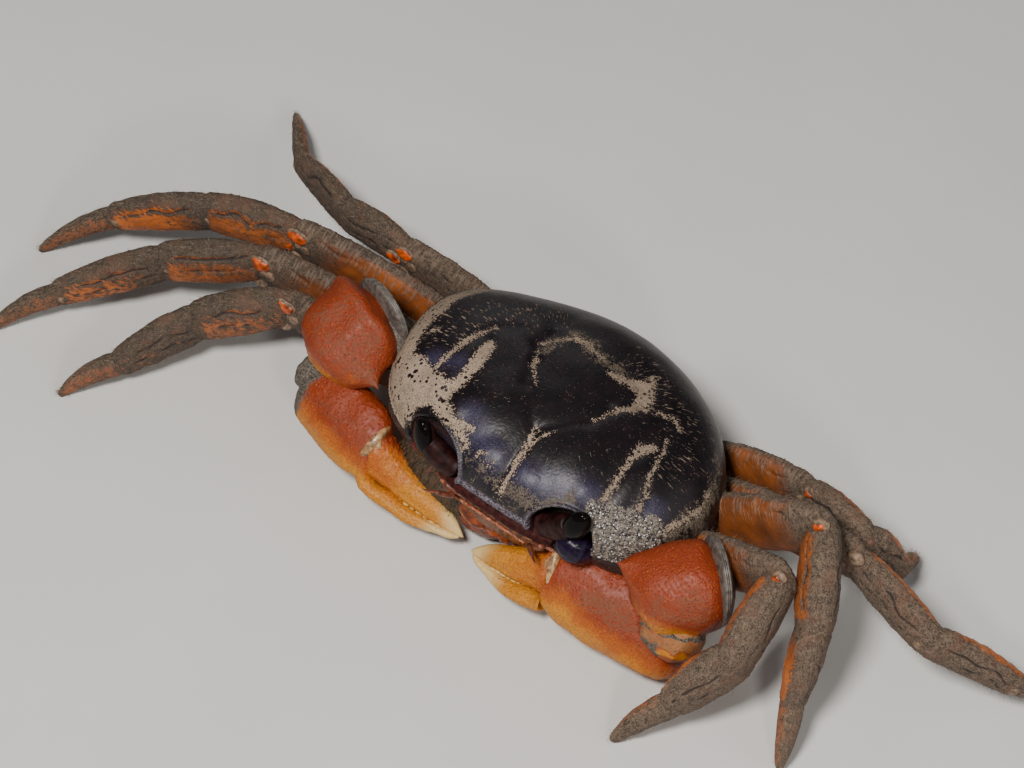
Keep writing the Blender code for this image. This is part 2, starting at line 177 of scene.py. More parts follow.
def ripple(points, wave, seed, waves=16):
    """Soft noise, mostly within -1 to 1: sines in seeded directions, added, over sqrt(waves).

    Their wavelengths lie between wave / 1.7 and wave / 0.6.
    """
    draw = np.random.default_rng(seed)
    ways = unit(draw.normal(size=(waves, 3))) * draw.uniform(0.6, 1.7, (waves, 1))
    phase = draw.uniform(0, 2 * math.pi, waves)
    return np.sin(points @ ways.T * (2 * math.pi / wave) + phase).sum(-1) / math.sqrt(waves)


def through(t, values):
    """The parabola over t = 0..1 that passes start, middle and end values."""
    start, middle, end = values
    control = 2 * middle - (start + end) / 2
    return (1 - t) ** 2 * start + 2 * t * (1 - t) * control + t * t * end


def eased(x, stations):
    """Cubic Hermite curves through rows of (x, value, value...), slopes by central differences."""
    table = np.asarray(stations, float)
    xs, ys = table[:, 0], table[:, 1:]
    slopes = np.gradient(ys, xs, axis=0)
    x = np.clip(x, xs[0], xs[-1])
    k = np.clip(np.searchsorted(xs, x, side="right") - 1, 0, len(xs) - 2)
    span = (xs[k + 1] - xs[k])[:, None]
    t = (x - xs[k])[:, None] / span
    return (
        (1 + 2 * t) * (1 - t) ** 2 * ys[k] + t * (1 - t) ** 2 * span * slopes[k]
        + t * t * (3 - 2 * t) * ys[k + 1] + t * t * (t - 1) * span * slopes[k + 1]
    )


def stroke(points, lines):
    """The greatest of half width minus distance over lines of (x, y, half width): inside is > 0."""
    best = np.full(points.shape[:-1], -100.0)
    for line in lines:
        line = np.asarray(line, float)
        for a, b in zip(line, line[1:]):
            way = b[:2] - a[:2]
            t = np.clip((points - a[:2]) @ way / (way @ way), 0, 1)
            gap = np.linalg.norm(points - (a[:2] + t[..., None] * way), axis=-1)
            best = np.maximum(best, a[2] + t * (b[2] - a[2]) - gap)
    return best


def dome(run, low, high, low_length, high_length, power=2.0):
    """Share that rounds both ends: (1 - (distance into the end / its length)^p)^(1/p)."""
    start = np.clip((low + low_length - run) / low_length, 0, 1)
    stop = np.clip((run - high + high_length) / high_length, 0, 1)
    return ((1 - start**power) * (1 - stop**power)) ** (1 / power)


def crowded(count):
    """0 to 1 with steps that shrink towards both ends as a cosine does."""
    return (1 - np.cos(math.pi * (np.arange(count) + 0.5) / count)) / 2


def superellipse(angle, power):
    """Unit superellipse (|cos|^(2/p), |sin|^(2/p)) with the signs of cos and sin."""
    c, s = np.cos(angle), np.sin(angle)
    return np.sign(c) * np.abs(c) ** (2 / power), np.sign(s) * np.abs(s) ** (2 / power)


def round_turns(columns):
    """Angles at the middles of equal steps round a full turn."""
    return 2 * math.pi * (np.arange(columns) + 0.5) / columns


def normals(grid):
    """Outward unit normals of a closed grid: cross product of its row and column differences."""
    along = np.gradient(grid, axis=0)
    across = np.roll(grid, -1, axis=1) - np.roll(grid, 1, axis=1)
    n = np.cross(across, along)
    n = n / np.maximum(np.linalg.norm(n, axis=-1, keepdims=True), 1e-9)
    centre = grid.mean(axis=1, keepdims=True)
    return n if np.sum((grid - centre) * n) > 0 else -n


def raised(grid, height):
    """The grid moved out along its normals by height."""
    return grid + normals(grid) * height[..., None]


def mirrored(point, side):
    """A point given with x outwards, on the left (side 1) or right (side -1): x times side."""
    return np.array([point[0] * side, point[1], point[2]], float)


# Meshes -----------------------------------------------------------------------------------------

def grid_faces(rows, columns):
    """Quads of a grid closed round its columns, with a fan to one pole at each end."""
    r, c = np.meshgrid(np.arange(rows - 1), np.arange(columns), indexing="ij")
    after = (c + 1) % columns
    quads = np.stack([r * columns + c, r * columns + after, (r + 1) * columns + after,
                      (r + 1) * columns + c], -1).reshape(-1, 4)
    k = np.arange(columns)
    after = (k + 1) % columns
    last = (rows - 1) * columns
    first_fan = np.stack([after, k, np.full(columns, rows * columns)], -1)
    last_fan = np.stack([last + k, last + after, np.full(columns, rows * columns + 1)], -1)
    return quads, np.concatenate([first_fan, last_fan])


def closed_grid(grid, fields):
    """Points, quads, triangles and fields of a closed skin, with a pole at each end row's mean."""
    rows, columns = grid.shape[:2]
    quads, fans = grid_faces(rows, columns)

    def flat(values):
        values = np.asarray(values, float)
        values = np.broadcast_to(values, (rows, columns) + values.shape[2:])
        ends = np.stack([values[0].mean(axis=0), values[-1].mean(axis=0)])
        return np.concatenate([values.reshape((-1,) + values.shape[2:]), ends])

    points = flat(grid)
    a, b, c, d = (points[quads[:, k]] for k in range(4))
    volume = np.sum(np.cross(a, b) * c) + np.sum(np.cross(a, c) * d)
    if volume < 0:
        quads, fans = quads[:, ::-1], fans[:, ::-1]
    return points, quads, fans, {key: flat(value) for key, value in fields.items()}


def build(name, parts, finish, stands_for=(), uv=None):
    """One piece from closed grids: parts holds (grid in millimetres, fields) pairs, joined.

    stands_for names the solids that it replaces, and uv holds one map point for each vertex.
    """
    points, quads, fans, fields, count = [], [], [], [], 0
    for grid, own in parts:
        p, q, f, flat = closed_grid(grid, own)
        points.append(p)
        quads.append(q + count)
        fans.append(f + count)
        fields.append(flat)
        count += len(p)
    points = np.concatenate(points) * MM
    quads, fans = np.concatenate(quads), np.concatenate(fans)
    mesh = bpy.data.meshes.new(name)
    mesh.vertices.add(len(points))
    mesh.vertices.foreach_set("co", points.ravel())
    corners = np.concatenate([quads.ravel(), fans.ravel()]).astype(np.int32)
    mesh.loops.add(len(corners))
    mesh.loops.foreach_set("vertex_index", corners)
    starts = np.concatenate([np.arange(len(quads)) * 4, len(quads) * 4 + np.arange(len(fans)) * 3])
    mesh.polygons.add(len(starts))
    mesh.polygons.foreach_set("loop_start", starts.astype(np.int32))
    mesh.update(calc_edges=True)
    for key in fields[0]:
        values = np.concatenate([own[key] for own in fields])
        kind = "FLOAT_VECTOR" if values.ndim == 2 else "FLOAT"
        layer = mesh.attributes.new(key, kind, "POINT")
        layer.data.foreach_set("vector" if values.ndim == 2 else "value", values.ravel())
    if uv is not None:
        layer = mesh.uv_layers.new(name="OFBake")
        layer.data.foreach_set("uv", uv[corners].ravel())
    mesh.shade_smooth()
    mesh.validate()
    mesh.materials.append(finish)
    piece = bpy.data.objects.new(name, mesh)
    bpy.context.scene.collection.objects.link(piece)
    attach(piece, "root")
    if stands_for:
        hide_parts(*stands_for)


def tube(centres, deep, thin, high, wide, power=2.2, columns=64, keel=0.0):
    """Rings of centre + deep * high * u + thin * wide * v, (u, v) a superellipse.

    keel narrows the upper half: wide is multiplied by 1 - keel * u for u above 0.
    """
    u, v = superellipse(round_turns(columns), power)
    v = v * (1 - keel * np.clip(u, 0, 1))
    rows = len(centres)
    deep, thin = (np.broadcast_to(way, (rows, 3))[:, None] for way in (deep, thin))
    return (np.asarray(centres)[:, None] + deep * (high[:, None] * u)[..., None]
            + thin * (wide[:, None] * v)[..., None])


def ball(centre, axes, ways=np.eye(3), rows=20, columns=28, power=2.0):
    """Ellipsoid: centre + axes * (u cos a, v cos a, sin a) in the frame of ways, a from -90 to 90.

    (u, v) goes round a circle, or round a superellipse where power isn't 2.
    """
    a = math.pi * ((np.arange(rows) + 0.5) / rows - 0.5)
    u, v = superellipse(round_turns(columns), power)
    local = np.stack([np.outer(np.cos(a), u), np.outer(np.cos(a), v),
                      np.outer(np.sin(a), np.ones(columns))], -1)
    return np.asarray(centre, float) + (local * axes) @ np.asarray(ways, float)


def on_floor(grid):
    """The grid with what lies under the floor lifted to it: z = max(z, 0)."""
    return np.concatenate([grid[..., :2], np.maximum(grid[..., 2:], 0.0)], -1)


# Finishes ---------------------------------------------------------------------------------------

class Wire:
    """A shader value written like a number: an operator on it adds a Math node."""

    def __init__(self, recipe, socket):
        self.recipe, self.socket = recipe, socket

    def math(self, operation, other, flipped=False):
        """Adds the node for this value and another, which comes first where flipped."""
        values = {0: other, 1: self} if flipped else {0: self, 1: other}
        return self.recipe.node("Math", {"operation": operation}, values)

    def __add__(self, other):
        return self.math("ADD", other)

    def __sub__(self, other):
        return self.math("SUBTRACT", other)

    def __mul__(self, other):
        return self.math("MULTIPLY", other)

    def __rsub__(self, other):
        return self.math("SUBTRACT", other, flipped=True)

    __radd__ = __add__
    __rmul__ = __mul__

    def most(self, other):
        """The greater of the two."""
        return self.math("MAXIMUM", other)

    def step(self, low, high):
        """Smoothly from 0 at low to 1 at high."""
        return self.recipe.node(
            "MapRange", {"interpolation_type": "SMOOTHSTEP"},
            {"Value": self, "From Min": low, "From Max": high},
        )


class Recipe:
    """One finish, built node by node on Blender's main shader."""

    def __init__(self, name):
        self.material = bpy.data.materials.new(name)
        self.material.use_nodes = True
        self.tree = self.material.node_tree
        self.shader = self.tree.nodes["Principled BSDF"]

    def node(self, kind, settings=None, values=None, output=0):
        """Any node: its type, its settings, then the values or links of its sockets."""
        made = self.tree.nodes.new("ShaderNode" + kind)
        for key, value in (settings or {}).items():
            setattr(made, key, value)
        self.fill(made, values or {})
        return Wire(self, made.outputs[output])

    def fill(self, made, values):
        """Links or sets a node's sockets."""
        for key, value in values.items():
            if isinstance(value, Wire):
                self.tree.links.new(value.socket, made.inputs[key])
            else:
                made.inputs[key].default_value = value

    def place(self):
        """Object coordinates, in metres."""
        return self.node("TexCoord", output="Object")

    def field(self, name, vector=False):
        """A value that the piece's mesh carries."""
        output = "Vector" if vector else "Fac"
        return self.node("Attribute", {"attribute_name": name}, output=output)

    def stretched(self, vector, scale):
        """The vector times scale, part by part: a part scaled below 1 draws a pattern out."""
        return self.node("VectorMath", {"operation": "MULTIPLY"}, {0: vector, 1: scale})

    def noise(self, size, detail=3.0, rough=0.55, vector=None):
        """Noise about 0 to 1 whose blotches are some size across, in the vector's own units."""
        vector = vector or self.place()
        return self.node("TexNoise", {}, {"Vector": vector, "Scale": 1 / size, "Detail": detail,
                                          "Roughness": rough})

    def cells(self, size):
        """Distance to the nearest of scattered points, in shares of their spacing."""
        return self.node("TexVoronoi", {}, {"Vector": self.place(), "Scale": 1 / size})

    def mix(self, share, low, high):
        """Colour low where share is 0 and high where it is 1."""
        values = {0: share, 6: low, 7: high}
        for key in (6, 7):
            if not isinstance(values[key], Wire):
                values[key] = (*values[key], 1.0)
        return self.node("Mix", {"data_type": "RGBA"}, values, output=2)

    def bump(self, height, distance, strength=1.0):
        """A normal tipped by the slope of height, where a height of 1 stands for distance."""
        return self.node("Bump", {}, {"Height": height, "Distance": distance,
                                      "Strength": strength})

    def finish(self, **sockets):
        """Sets or links the shader's sockets, their names written with _ for spaces."""
        values = {}
        for key, value in sockets.items():
            if isinstance(value, tuple) and len(value) == 3:
                value = (*value, 1.0)
            values[key.replace("_", " ")] = value
        self.fill(self.shader, values)
        return self.material


def settings():
    """The shell's, claws', legs' and stage's settings."""
    scene = bpy.context.scene
    return scene.crab_shell, scene.crab_claws, scene.crab_legs, scene.crab_stage


FINISHES = {}


def finish_of(name, make):
    """Makes a finish the first time that it is asked for."""
    if name not in FINISHES:
        FINISHES[name] = make(Recipe(name))
    return FINISHES[name]


def shade(base, factor):
    """The colour times factor, at most 1."""
    return tuple(min(1.0, value * factor) for value in base)


SHELL_BROWN, SHELL_SPECK = (0.0085, 0.0042, 0.0060), (0.19, 0.165, 0.15)
LIP_DARK, LIP_PALE = (0.022, 0.018, 0.028), (0.17, 0.14, 0.17)
FILM_DARK, FILM_PALE = (0.040, 0.031, 0.022), (0.150, 0.115, 0.080)
FLANK_DUST, RIM_RED, COOL_HOLLOW = (0.14, 0.11, 0.085), (0.20, 0.018, 0.022), (0.011, 0.007, 0.019)
# wet mud's dark clots, and the near-white of its painted glints
WET_DARK, PAINTED_GLINT = (0.012, 0.009, 0.016), (0.80, 0.77, 0.74)


def shell_finish(r):
    """Granular dark shell with painted sheen in front; dry mud thins into dashes; wet mud glitters
    with painted glints; hollows are red-brown.
    """
    shell = settings()[0]
    dark, sheen, mud_colour, wet_colour, hollow = (
        tuple(c) for c in (shell.dark, shell.sheen, shell.mud, shell.wet, shell.hollow))
    mud, wet, lining, lip, film, dashes, flank, bloom, rim, light_mud_share = (
        r.field(key) for key in ("mud", "wet", "lining", "lip", "film", "dashes", "flank",
                                 "bloom", "rim", "light_mud_share"))
    rays = r.field("rays", vector=True)
    fine = r.noise(0.00022, 4.0, 0.6)
    grit = r.noise(0.00022, 2.0, 0.5)
    pebble = r.cells(0.00030)
    pebble = 1 - pebble * pebble * 2.0
    drop = r.cells(0.00056)
    broad = r.noise(0.0022, 3.0, 0.6)
    torn = r.noise(0.00075, 4.0, 0.7)
    streak = r.noise(0.30, 4.0, 0.65, r.stretched(rays, (1.0, 1.0, 0.55)))
    # mud is above 0.5 inside its edge, which streaks, blotches and grains tear
    thick = (mud + (streak - 0.5) * 0.8 + (torn - 0.5) * 0.9 + (grit - 0.5) * 1.5
             + (broad - 0.5) * 0.5)
    covered = thick.step(0.46, 0.60)
    # dark grains of the shell poke through it, and scratches of it lie along the rays
    poke = (r.cells(0.00072) - 0.11 - (broad - 0.44).most(0.0) * 1.6).step(-0.04, 0.06)
    covered = covered * poke
    line = r.noise(0.20, 2.0, 0.5, r.stretched(rays, (1.0, 1.0, 0.36)))
    scratch = (line - 0.700 + dashes * (0.05 + 0.26 * (broad - 0.35).most(0.0))).step(0.0, 0.03)
    scattered = scratch * (1 - covered) * 0.85
    tone = (fine * 0.5 + broad * 0.25 + grit * 0.25).step(0.34, 0.64)
    tint = r.mix(tone, shade(mud_colour, 0.50), shade(mud_colour, 1.16))
    # the mud is lighter in front, and darker behind and far out on the left half
    tint = r.mix(light_mud_share, r.mix(tone, shade(mud_colour, 0.36), shade(mud_colour, 0.74)), tint)
    # the bare shell: blotched, with a painted bluish sheen (a highlight) on the front fields, pale
    # at the lip, under film, dust and specks
    bare = r.mix((broad - 0.5).step(-0.12, 0.12), dark, SHELL_BROWN)
    bare = r.mix(bloom * (0.25 + (grit - 0.30).step(0.0, 0.4) * 0.75), bare, sheen)
    bare = r.mix(lip, bare, r.mix((grit * 0.5 + fine * 0.5).step(0.40, 0.62), LIP_DARK, LIP_PALE))
    thin = (film + (torn - 0.5) * 2.4 + (broad - 0.5) * 1.4 + (grit - 0.5) * 1.6).step(0.45, 0.95)
    bare = r.mix(thin * 0.8, bare, r.mix(fine.step(0.35, 0.65), FILM_DARK, FILM_PALE))
    ridges = r.noise(0.22, 3.0, 0.6, r.stretched(rays, (1.0, 1.0, 2.6)))
    bare = r.mix(flank * (ridges - 0.48).step(0.0, 0.10) * 0.75, bare, FLANK_DUST)
    specks = (r.cells(0.00052) - 0.11).step(0.03, -0.03) * (torn - 0.44).step(0.0, 0.1)
    bare = r.mix(specks * 0.6 * (1 - lip), bare, SHELL_SPECK)
    base = r.mix(scattered, bare, tint)
    base = r.mix(covered, base, tint)
    # wet mud: dark clots, and near-white specks painted in as glints
    soaked = (wet + (broad - 0.5) * 0.9 + (torn - 0.5) * 1.2).step(0.36, 0.70)
    glints = r.mix((fine * 0.5 + torn * 0.5 - 0.42).step(0.0, 0.16), WET_DARK, wet_colour)
    painted_glint_mask = (r.cells(0.00040) + (torn - 0.5) * 1.1 + (grit - 0.5) * 0.4 - 0.18).step(0.04, -0.04)
    glints = r.mix(painted_glint_mask, glints, PAINTED_GLINT)
    base = r.mix(soaked * 0.9, base, glints)
    lined = (lining + (broad - 0.5) * 0.2).step(0.35, 0.65)
    base = r.mix(lined, base, r.mix(r.field("cool"), hollow, COOL_HOLLOW))
    base = r.mix(rim, base, RIM_RED)
    dry = (covered.most(scattered * 0.8)).most(thin * 0.5) * (1 - soaked) * (1 - lined)
    rough = (0.38 + bloom * 0.06 + dry * 0.52 + flank * 0.16 * (1 - dry) - soaked * 0.12
             + lined * 0.02)
    rough = rough + (fine - 0.5) * 0.10 + lip * 0.10
    height = (covered * (0.5 + fine * 0.5) * 0.9 + scattered * 0.4 + flank * ridges * 1.8
              + (pebble + grit) * (1 - covered) * (0.06 + bloom * 0.02 + lip * 0.35) * (1 - lined))
    height = height * (1 - soaked) + (grit * 1.5 - drop * drop * 2.4) * soaked
    normal = r.bump(height, 0.00010, 0.95)
    return r.finish(Base_Color=base, Roughness=rough, Normal=normal, Specular_IOR_Level=0.38)


CLAW_GOLD, CLAW_BEAD, CLAW_PIT = (0.60, 0.245, 0.012), (0.62, 0.17, 0.014), (0.10, 0.022, 0.012)
CREAM_SPECK = (0.07, 0.04, 0.03)
GRIME_DARK, GRIME_PALE = (0.030, 0.024, 0.020), (0.15, 0.125, 0.10)


def claw_finish(r):
    """Granular red-orange shell, yellower below, with scaly dust and cream finger ends."""
    claws = settings()[1]
    red, orange, cream, dust_colour = (
        tuple(c) for c in (claws.red, claws.orange, claws.cream, claws.dust))
    warm, dust, pale, grime = (r.field(key) for key in ("warm", "dust", "pale", "grime"))
    local = r.field("local", vector=True)
    fine = r.noise(0.00028, 4.0, 0.6)
    broad = r.noise(0.0026, 3.0, 0.55)
    scale = r.noise(0.42, 4.0, 0.6, r.stretched(local, (0.55, 1.0, 1.0)))
    grains = r.cells(0.00046)
    base = r.mix((warm + (broad - 0.5) * 0.7).step(0.25, 0.80), red, orange)
    base = r.mix((warm + (broad - 0.5) * 0.5).step(0.72, 1.0) * 0.85, base, CLAW_GOLD)
    base = r.mix((fine - 0.5).step(-0.22, 0.22) * 0.50, base, shade(red, 0.45))
    bead = (r.cells(0.00062) - 0.18).step(0.08, -0.06)
    base = r.mix(bead * (1 - pale) * 0.30, base, CLAW_BEAD)
    dusty = dust + (scale - 0.5) * 2.2 + (broad - 0.5) * 0.9 + (fine - 0.5) * 1.2
    dusty = dusty.step(0.45, 1.10)
    base = r.mix(dusty * 0.52, base, dust_colour)
    pits = (r.cells(0.0011) - 0.16).step(0.05, -0.05) * (broad - 0.50).step(0.0, 0.12)
    base = r.mix(pits * (1 - pale) * 0.6, base, CLAW_PIT)
    light = (pale + (broad - 0.5) * 0.25).step(0.30, 0.95)
    base = r.mix(light, base, cream)
    speck = (r.cells(0.00075) - 0.17).step(0.05, -0.05) * (r.noise(0.0035) - 0.46).step(0, 0.1)
    base = r.mix(speck * pale.step(0.02, 0.3) * 0.8, base, CREAM_SPECK)
    dirty = (grime + (broad - 0.5) * 0.8 + (fine - 0.5) * 0.5).step(0.40, 0.70)
    base = r.mix(dirty, base, r.mix(fine.step(0.35, 0.65), GRIME_DARK, GRIME_PALE))
    rough = 0.54 + dusty * 0.20 + dirty * 0.3 - light * 0.10 + (fine - 0.5) * 0.2
    height = grains.step(0.5, 0.05) * (1 - pale * 0.85) + fine * 0.8 + dusty * 0.3 - pits * 0.8
    normal = r.bump(height, 0.00009, 0.9)
    return r.finish(Base_Color=base, Roughness=rough, Normal=normal, Coat_Weight=0.04,
                    Coat_Roughness=0.25, Specular_IOR_Level=0.40)


FELT_BROWN, FELT_GRAIN, FELT_RED = (0.15, 0.070, 0.042), (0.40, 0.32, 0.24), (0.10, 0.025, 0.016)
AMBER_RED, AMBER_SOIL, AMBER_SPOT = (0.30, 0.050, 0.010), (0.10, 0.035, 0.018), (0.11, 0.030, 0.012)
INNER_DARK, INNER_AMBER = (0.12, 0.036, 0.011), (0.25, 0.064, 0.010)
STRIA_DUST = (0.20, 0.145, 0.105)


def leg_finish(r):
    """Dusty felt with pale grains and long dark cracks, worn to smooth orange on some edges."""
    legs = settings()[2]
    felt, crack_colour, orange = (tuple(c) for c in (legs.felt, legs.crack, legs.bare))
    bare, crack, striae, deep = (r.field(key) for key in ("bare", "crack", "striae", "deep"))
    local = r.field("local", vector=True)
    fine = r.noise(0.00022, 4.0, 0.65)
    clumps = r.noise(0.55, 3.0, 0.6, r.stretched(local, (0.6, 1.0, 1.0)))
    broad = r.noise(0.0032, 2.0, 0.5)
    patch = r.noise(0.0007, 3.0, 0.65)
    # felt, its pale tone darkened on the right-hand legs: painted shade
    tone = (fine * 0.60 + clumps * 0.15 + patch * 0.25).step(0.38, 0.62)
    pale_felt_with_painted_shade = r.mix(r.field("right_painted_shade"), shade(felt, 1.65), shade(felt, 1.0))
    base = r.mix(tone, shade(felt, 0.24), pale_felt_with_painted_shade)
    base = r.mix((broad - 0.48).step(0.0, 0.2) * 0.40, base, FELT_BROWN)
    grain = (r.cells(0.00042) - 0.16).step(0.06, -0.04) * (patch - 0.48).step(0.0, 0.12)
    base = r.mix(grain * 0.60, base, FELT_GRAIN)
    blood = (r.noise(0.8, 3.0, 0.6, r.stretched(local, (0.35, 1.0, 1.0))) - 0.62).step(0.0, 0.06)
    base = r.mix(blood * 0.45, base, FELT_RED)
    # bare shell, deeper in colour on the inner joints
    worn = (bare + (clumps - 0.5) * 0.8 + (fine - 0.5) * 0.9).step(0.30, 0.86)
    amber = r.mix((broad + fine * 0.3).step(0.45, 0.85), shade(orange, 0.62), orange)
    amber = r.mix((clumps - 0.5).step(0.02, 0.22) * 0.6, amber, AMBER_RED)
    amber = r.mix(deep * 0.85, amber, r.mix(broad.step(0.3, 0.7), INNER_DARK, INNER_AMBER))
    amber = r.mix((fine - 0.52).step(0.0, 0.12) * 0.45, amber, AMBER_SOIL)
    spots = (r.cells(0.0010) - 0.24).step(0.08, -0.08) * (1 - deep)
    amber = r.mix(spots * 0.7, amber, AMBER_SPOT)
    base = r.mix(worn * 0.92, base, amber)
    lines = r.noise(0.34, 2.0, 0.5, r.stretched(local, (1.0, 0.16, 0.16)))
    lines = (lines - 0.5).step(0.0, 0.08)
    base = r.mix(striae * lines * 0.5, base, STRIA_DUST)
    split = (crack + (fine - 0.5) * 0.6).step(0.32, 0.66) * (1 - worn)
    base = r.mix(split * 0.9, base, crack_colour)
    rough = 0.88 - worn * 0.42 - split * 0.2 + (fine - 0.5) * 0.12
    height = ((fine * 1.6 + clumps * 0.8) * (1 - worn * 0.8) + grain * 0.6 - split * 1.2
              + lines * striae * 0.6)
    normal = r.bump(height, 0.00012, 0.95)
    return r.finish(Base_Color=base, Roughness=rough, Normal=normal)


GROOVE_BROWN, BELLY_DIRT = (0.24, 0.09, 0.03), (0.16, 0.10, 0.06)


def belly_finish(r):
    """Cream plates, oranger towards their grooves, with fine brown dirt."""
    base = tuple(settings()[2].belly)
    groove = r.field("groove")
    fine, broad = r.noise(0.0004, 4.0, 0.6), r.noise(0.003)
    mixed = r.mix(broad.step(0.35, 0.65), base, shade(base, 1.25))
    mixed = r.mix((groove + (fine - 0.5) * 0.5).step(0.2, 0.9) * 0.8, mixed, GROOVE_BROWN)
    mixed = r.mix((fine - 0.60).step(0.0, 0.1) * 0.5, mixed, BELLY_DIRT)
    return r.finish(Base_Color=mixed, Roughness=0.55 + (fine - 0.5) * 0.2,
                    Normal=r.bump(fine, 0.00005, 0.8))


# the first colour is near-black painted shade for the grooves of the streaks; the second is the
# olive skin
CHEEK_GROOVE_SHADE, CHEEK_OLIVE = (0.008, 0.005, 0.003), (0.070, 0.042, 0.020)
CHEEK_RED = (0.17, 0.035, 0.015)


def cheek_finish(r):
    """Olive-brown skin with fine upright streaks, near-black in their grooves as painted shade."""
    local = r.field("local", vector=True)
    fine = r.noise(0.0003, 4.0, 0.6)
    streak = r.noise(0.42, 3.0, 0.65, r.stretched(local, (1.0, 1.0, 0.14)))
    # near-black where the streaks' bump is low: painted shade in the grooves
    base = r.mix((streak * 0.7 + fine * 0.3).step(0.36, 0.62), CHEEK_GROOVE_SHADE, CHEEK_OLIVE)
    base = r.mix((r.noise(0.0016) - 0.56).step(0.0, 0.1) * 0.5, base, CHEEK_RED)
    return r.finish(Base_Color=base, Roughness=0.6 + (fine - 0.5) * 0.2,
                    Normal=r.bump(streak + fine * 0.4, 0.00010, 0.9))


def smooth_finish(base, rough, spread, size=0.0009, coat=0.0, bump=0.00003, gloss=0.5):
    """A plain finish with soft blotches of lighter and darker tone and a slight grain."""
    def make(r):
        blotch = r.noise(size, 4.0, 0.6)
        tone = blotch.step(0.3, 0.7)
        mixed = r.mix(tone, shade(base, 1 - spread), shade(base, 1 + spread))
        return r.finish(Base_Color=mixed, Roughness=rough + (blotch - 0.5) * 0.15,
                        Normal=r.bump(blotch, bump, 0.8), Coat_Weight=coat, Coat_Roughness=0.06,
                        Specular_IOR_Level=gloss)
    return make


PLAIN_FINISHES = {  # colour, roughness, spread of tone, and what else differs
    "eye_wall": ((0.008, 0.004, 0.016), 0.30, 0.6, {"size": 0.0006, "bump": 0.00006, "gloss": 0.2}),
    "stalk": ((0.016, 0.0038, 0.0036), 0.50, 0.6, {"size": 0.0012, "gloss": 0.15}),
    "boss": ((0.32, 0.18, 0.08), 0.35, 0.6, {"size": 0.0008, "coat": 0.1}),
    "bristle": ((0.22, 0.17, 0.11), 0.55, 0.4, {}),
    "hinge": ((0.14, 0.075, 0.05), 0.6, 0.5, {}),
    "pivot": ((0.17, 0.110, 0.070), 0.6, 0.6, {"size": 0.0006}),
    "spot": ((0.40, 0.060, 0.006), 0.38, 0.7, {"size": 0.0012, "coat": 0.05}),
    "cheek_bristle": ((0.095, 0.062, 0.030), 0.5, 0.5, {}),
    "rims": ((0.30, 0.085, 0.040), 0.36, 0.5, {}),
    "feelers": ((0.13, 0.035, 0.018), 0.42, 0.6, {}),
    "brow": ((0.034, 0.007, 0.006), 0.60, 0.6, {"gloss": 0.10}),
    "tissue": ((0.13, 0.045, 0.014), 0.42, 0.8, {"size": 0.0006, "bump": 0.00010}),
}


def plain(name):
    """One of the plain finishes, made the first time that it is asked for."""
    base, rough, spread, others = PLAIN_FINISHES[name]
    return finish_of(name, smooth_finish(base, rough, spread, **others))


# Shell ------------------------------------------------------------------------------------------

CARAPACE_FRONT, CARAPACE_BACK, WIDEST_Y = 15.2, 21.2, -3.0
CROWN = np.array([0.0, -1.5, 26.9])
EQUATOR_FRONT_Z, EQUATOR_SIDE_Z, EQUATOR_BACK_Z, SHELL_FLOOR_Z = 18.6, 16.6, 15.0, 10.8
OUTLINE_POWER_FRONT, OUTLINE_POWER_BACK, CROWN_POWER = 2.35, 1.95, 2.35
UNDERCUT_SIDE, UNDERCUT_FRONT, UNDERCUT_BACK = 0.60, 0.74, 0.80
ORBIT_CENTRES = {1: (10.4, -16.6, 19.8), -1: (11.1, -16.4, 19.8)}
ORBIT_AXES = {1: np.array([4.7, 3.9, 4.0]), -1: np.array([5.3, 3.9, 4.0])}
ORBIT_TURN = math.radians(22.0)
ORBIT_INWARD = (-0.10, 0.92, -0.36)  # the way in which the hollow goes into the shell
SHELL_COLUMNS, ROWS_BELOW, ROWS_ABOVE = 500, 44, 146
BEAD_SPACING, STRIA_SPACING = 0.62, 0.85
PIT = (6.7, 0.4, 0.7, 0.35)  # x outwards, y, radius and depth of the pit on each half
BULGE, BULGE_WAY = 2.8, np.array([-0.95, 0.10, 0.28])  # the swollen right rear shoulder

FURROWS = (  # (depth, width, points) of each furrow on the left half, x outwards
    (1.0, 0.75, ((0, -17.6), (0, -14), (0, -8.8))),
    (0.55, 0.7, ((0, -8.8), (2.2, -6.9), (4.2, -4.4))),
    (1.0, 0.8, ((5.2, -3.6), (6.2, -1.2), (6.6, 0.4), (8.0, 3.2), (7.2, 6.0))),
    (0.5, 1.1, ((7.2, 6.0), (3.6, 7.2), (0.0, 7.8))),
    (0.9, 0.9, ((11.8, -13.0), (13.2, -10.6), (12.9, -7.0), (13.0, -3.8), (14.2, -0.6))),
    (0.8, 0.9, ((18.6, -9.2), (17.2, -6.2), (16.4, -2.4), (14.8, 1.6), (11.0, 4.4), (8.0, 3.2))),
    (0.5, 1.2, ((8.0, 3.2), (8.6, 8.0), (7.0, 12.5))),
)
FIELDS = (  # swollen fields on the left half: x, y, radius in x and in y, height
    (2.9, -15.0, 2.3, 1.9, 0.55), (7.2, -9.6, 4.6, 4.6, 0.55), (11.2, -12.2, 1.9, 1.7, 0.45),
    (15.0, -6.2, 1.9, 4.6, 0.45), (19.0, -2.0, 3.6, 6.0, 0.30), (0.0, -2.6, 3.6, 3.6, 0.30),
    (0.0, 3.6, 5.0, 3.0, 0.30), (15.0, 7.0, 5.5, 5.5, 0.25), (0.0, 12.0, 5.0, 4.0, 0.20),
)
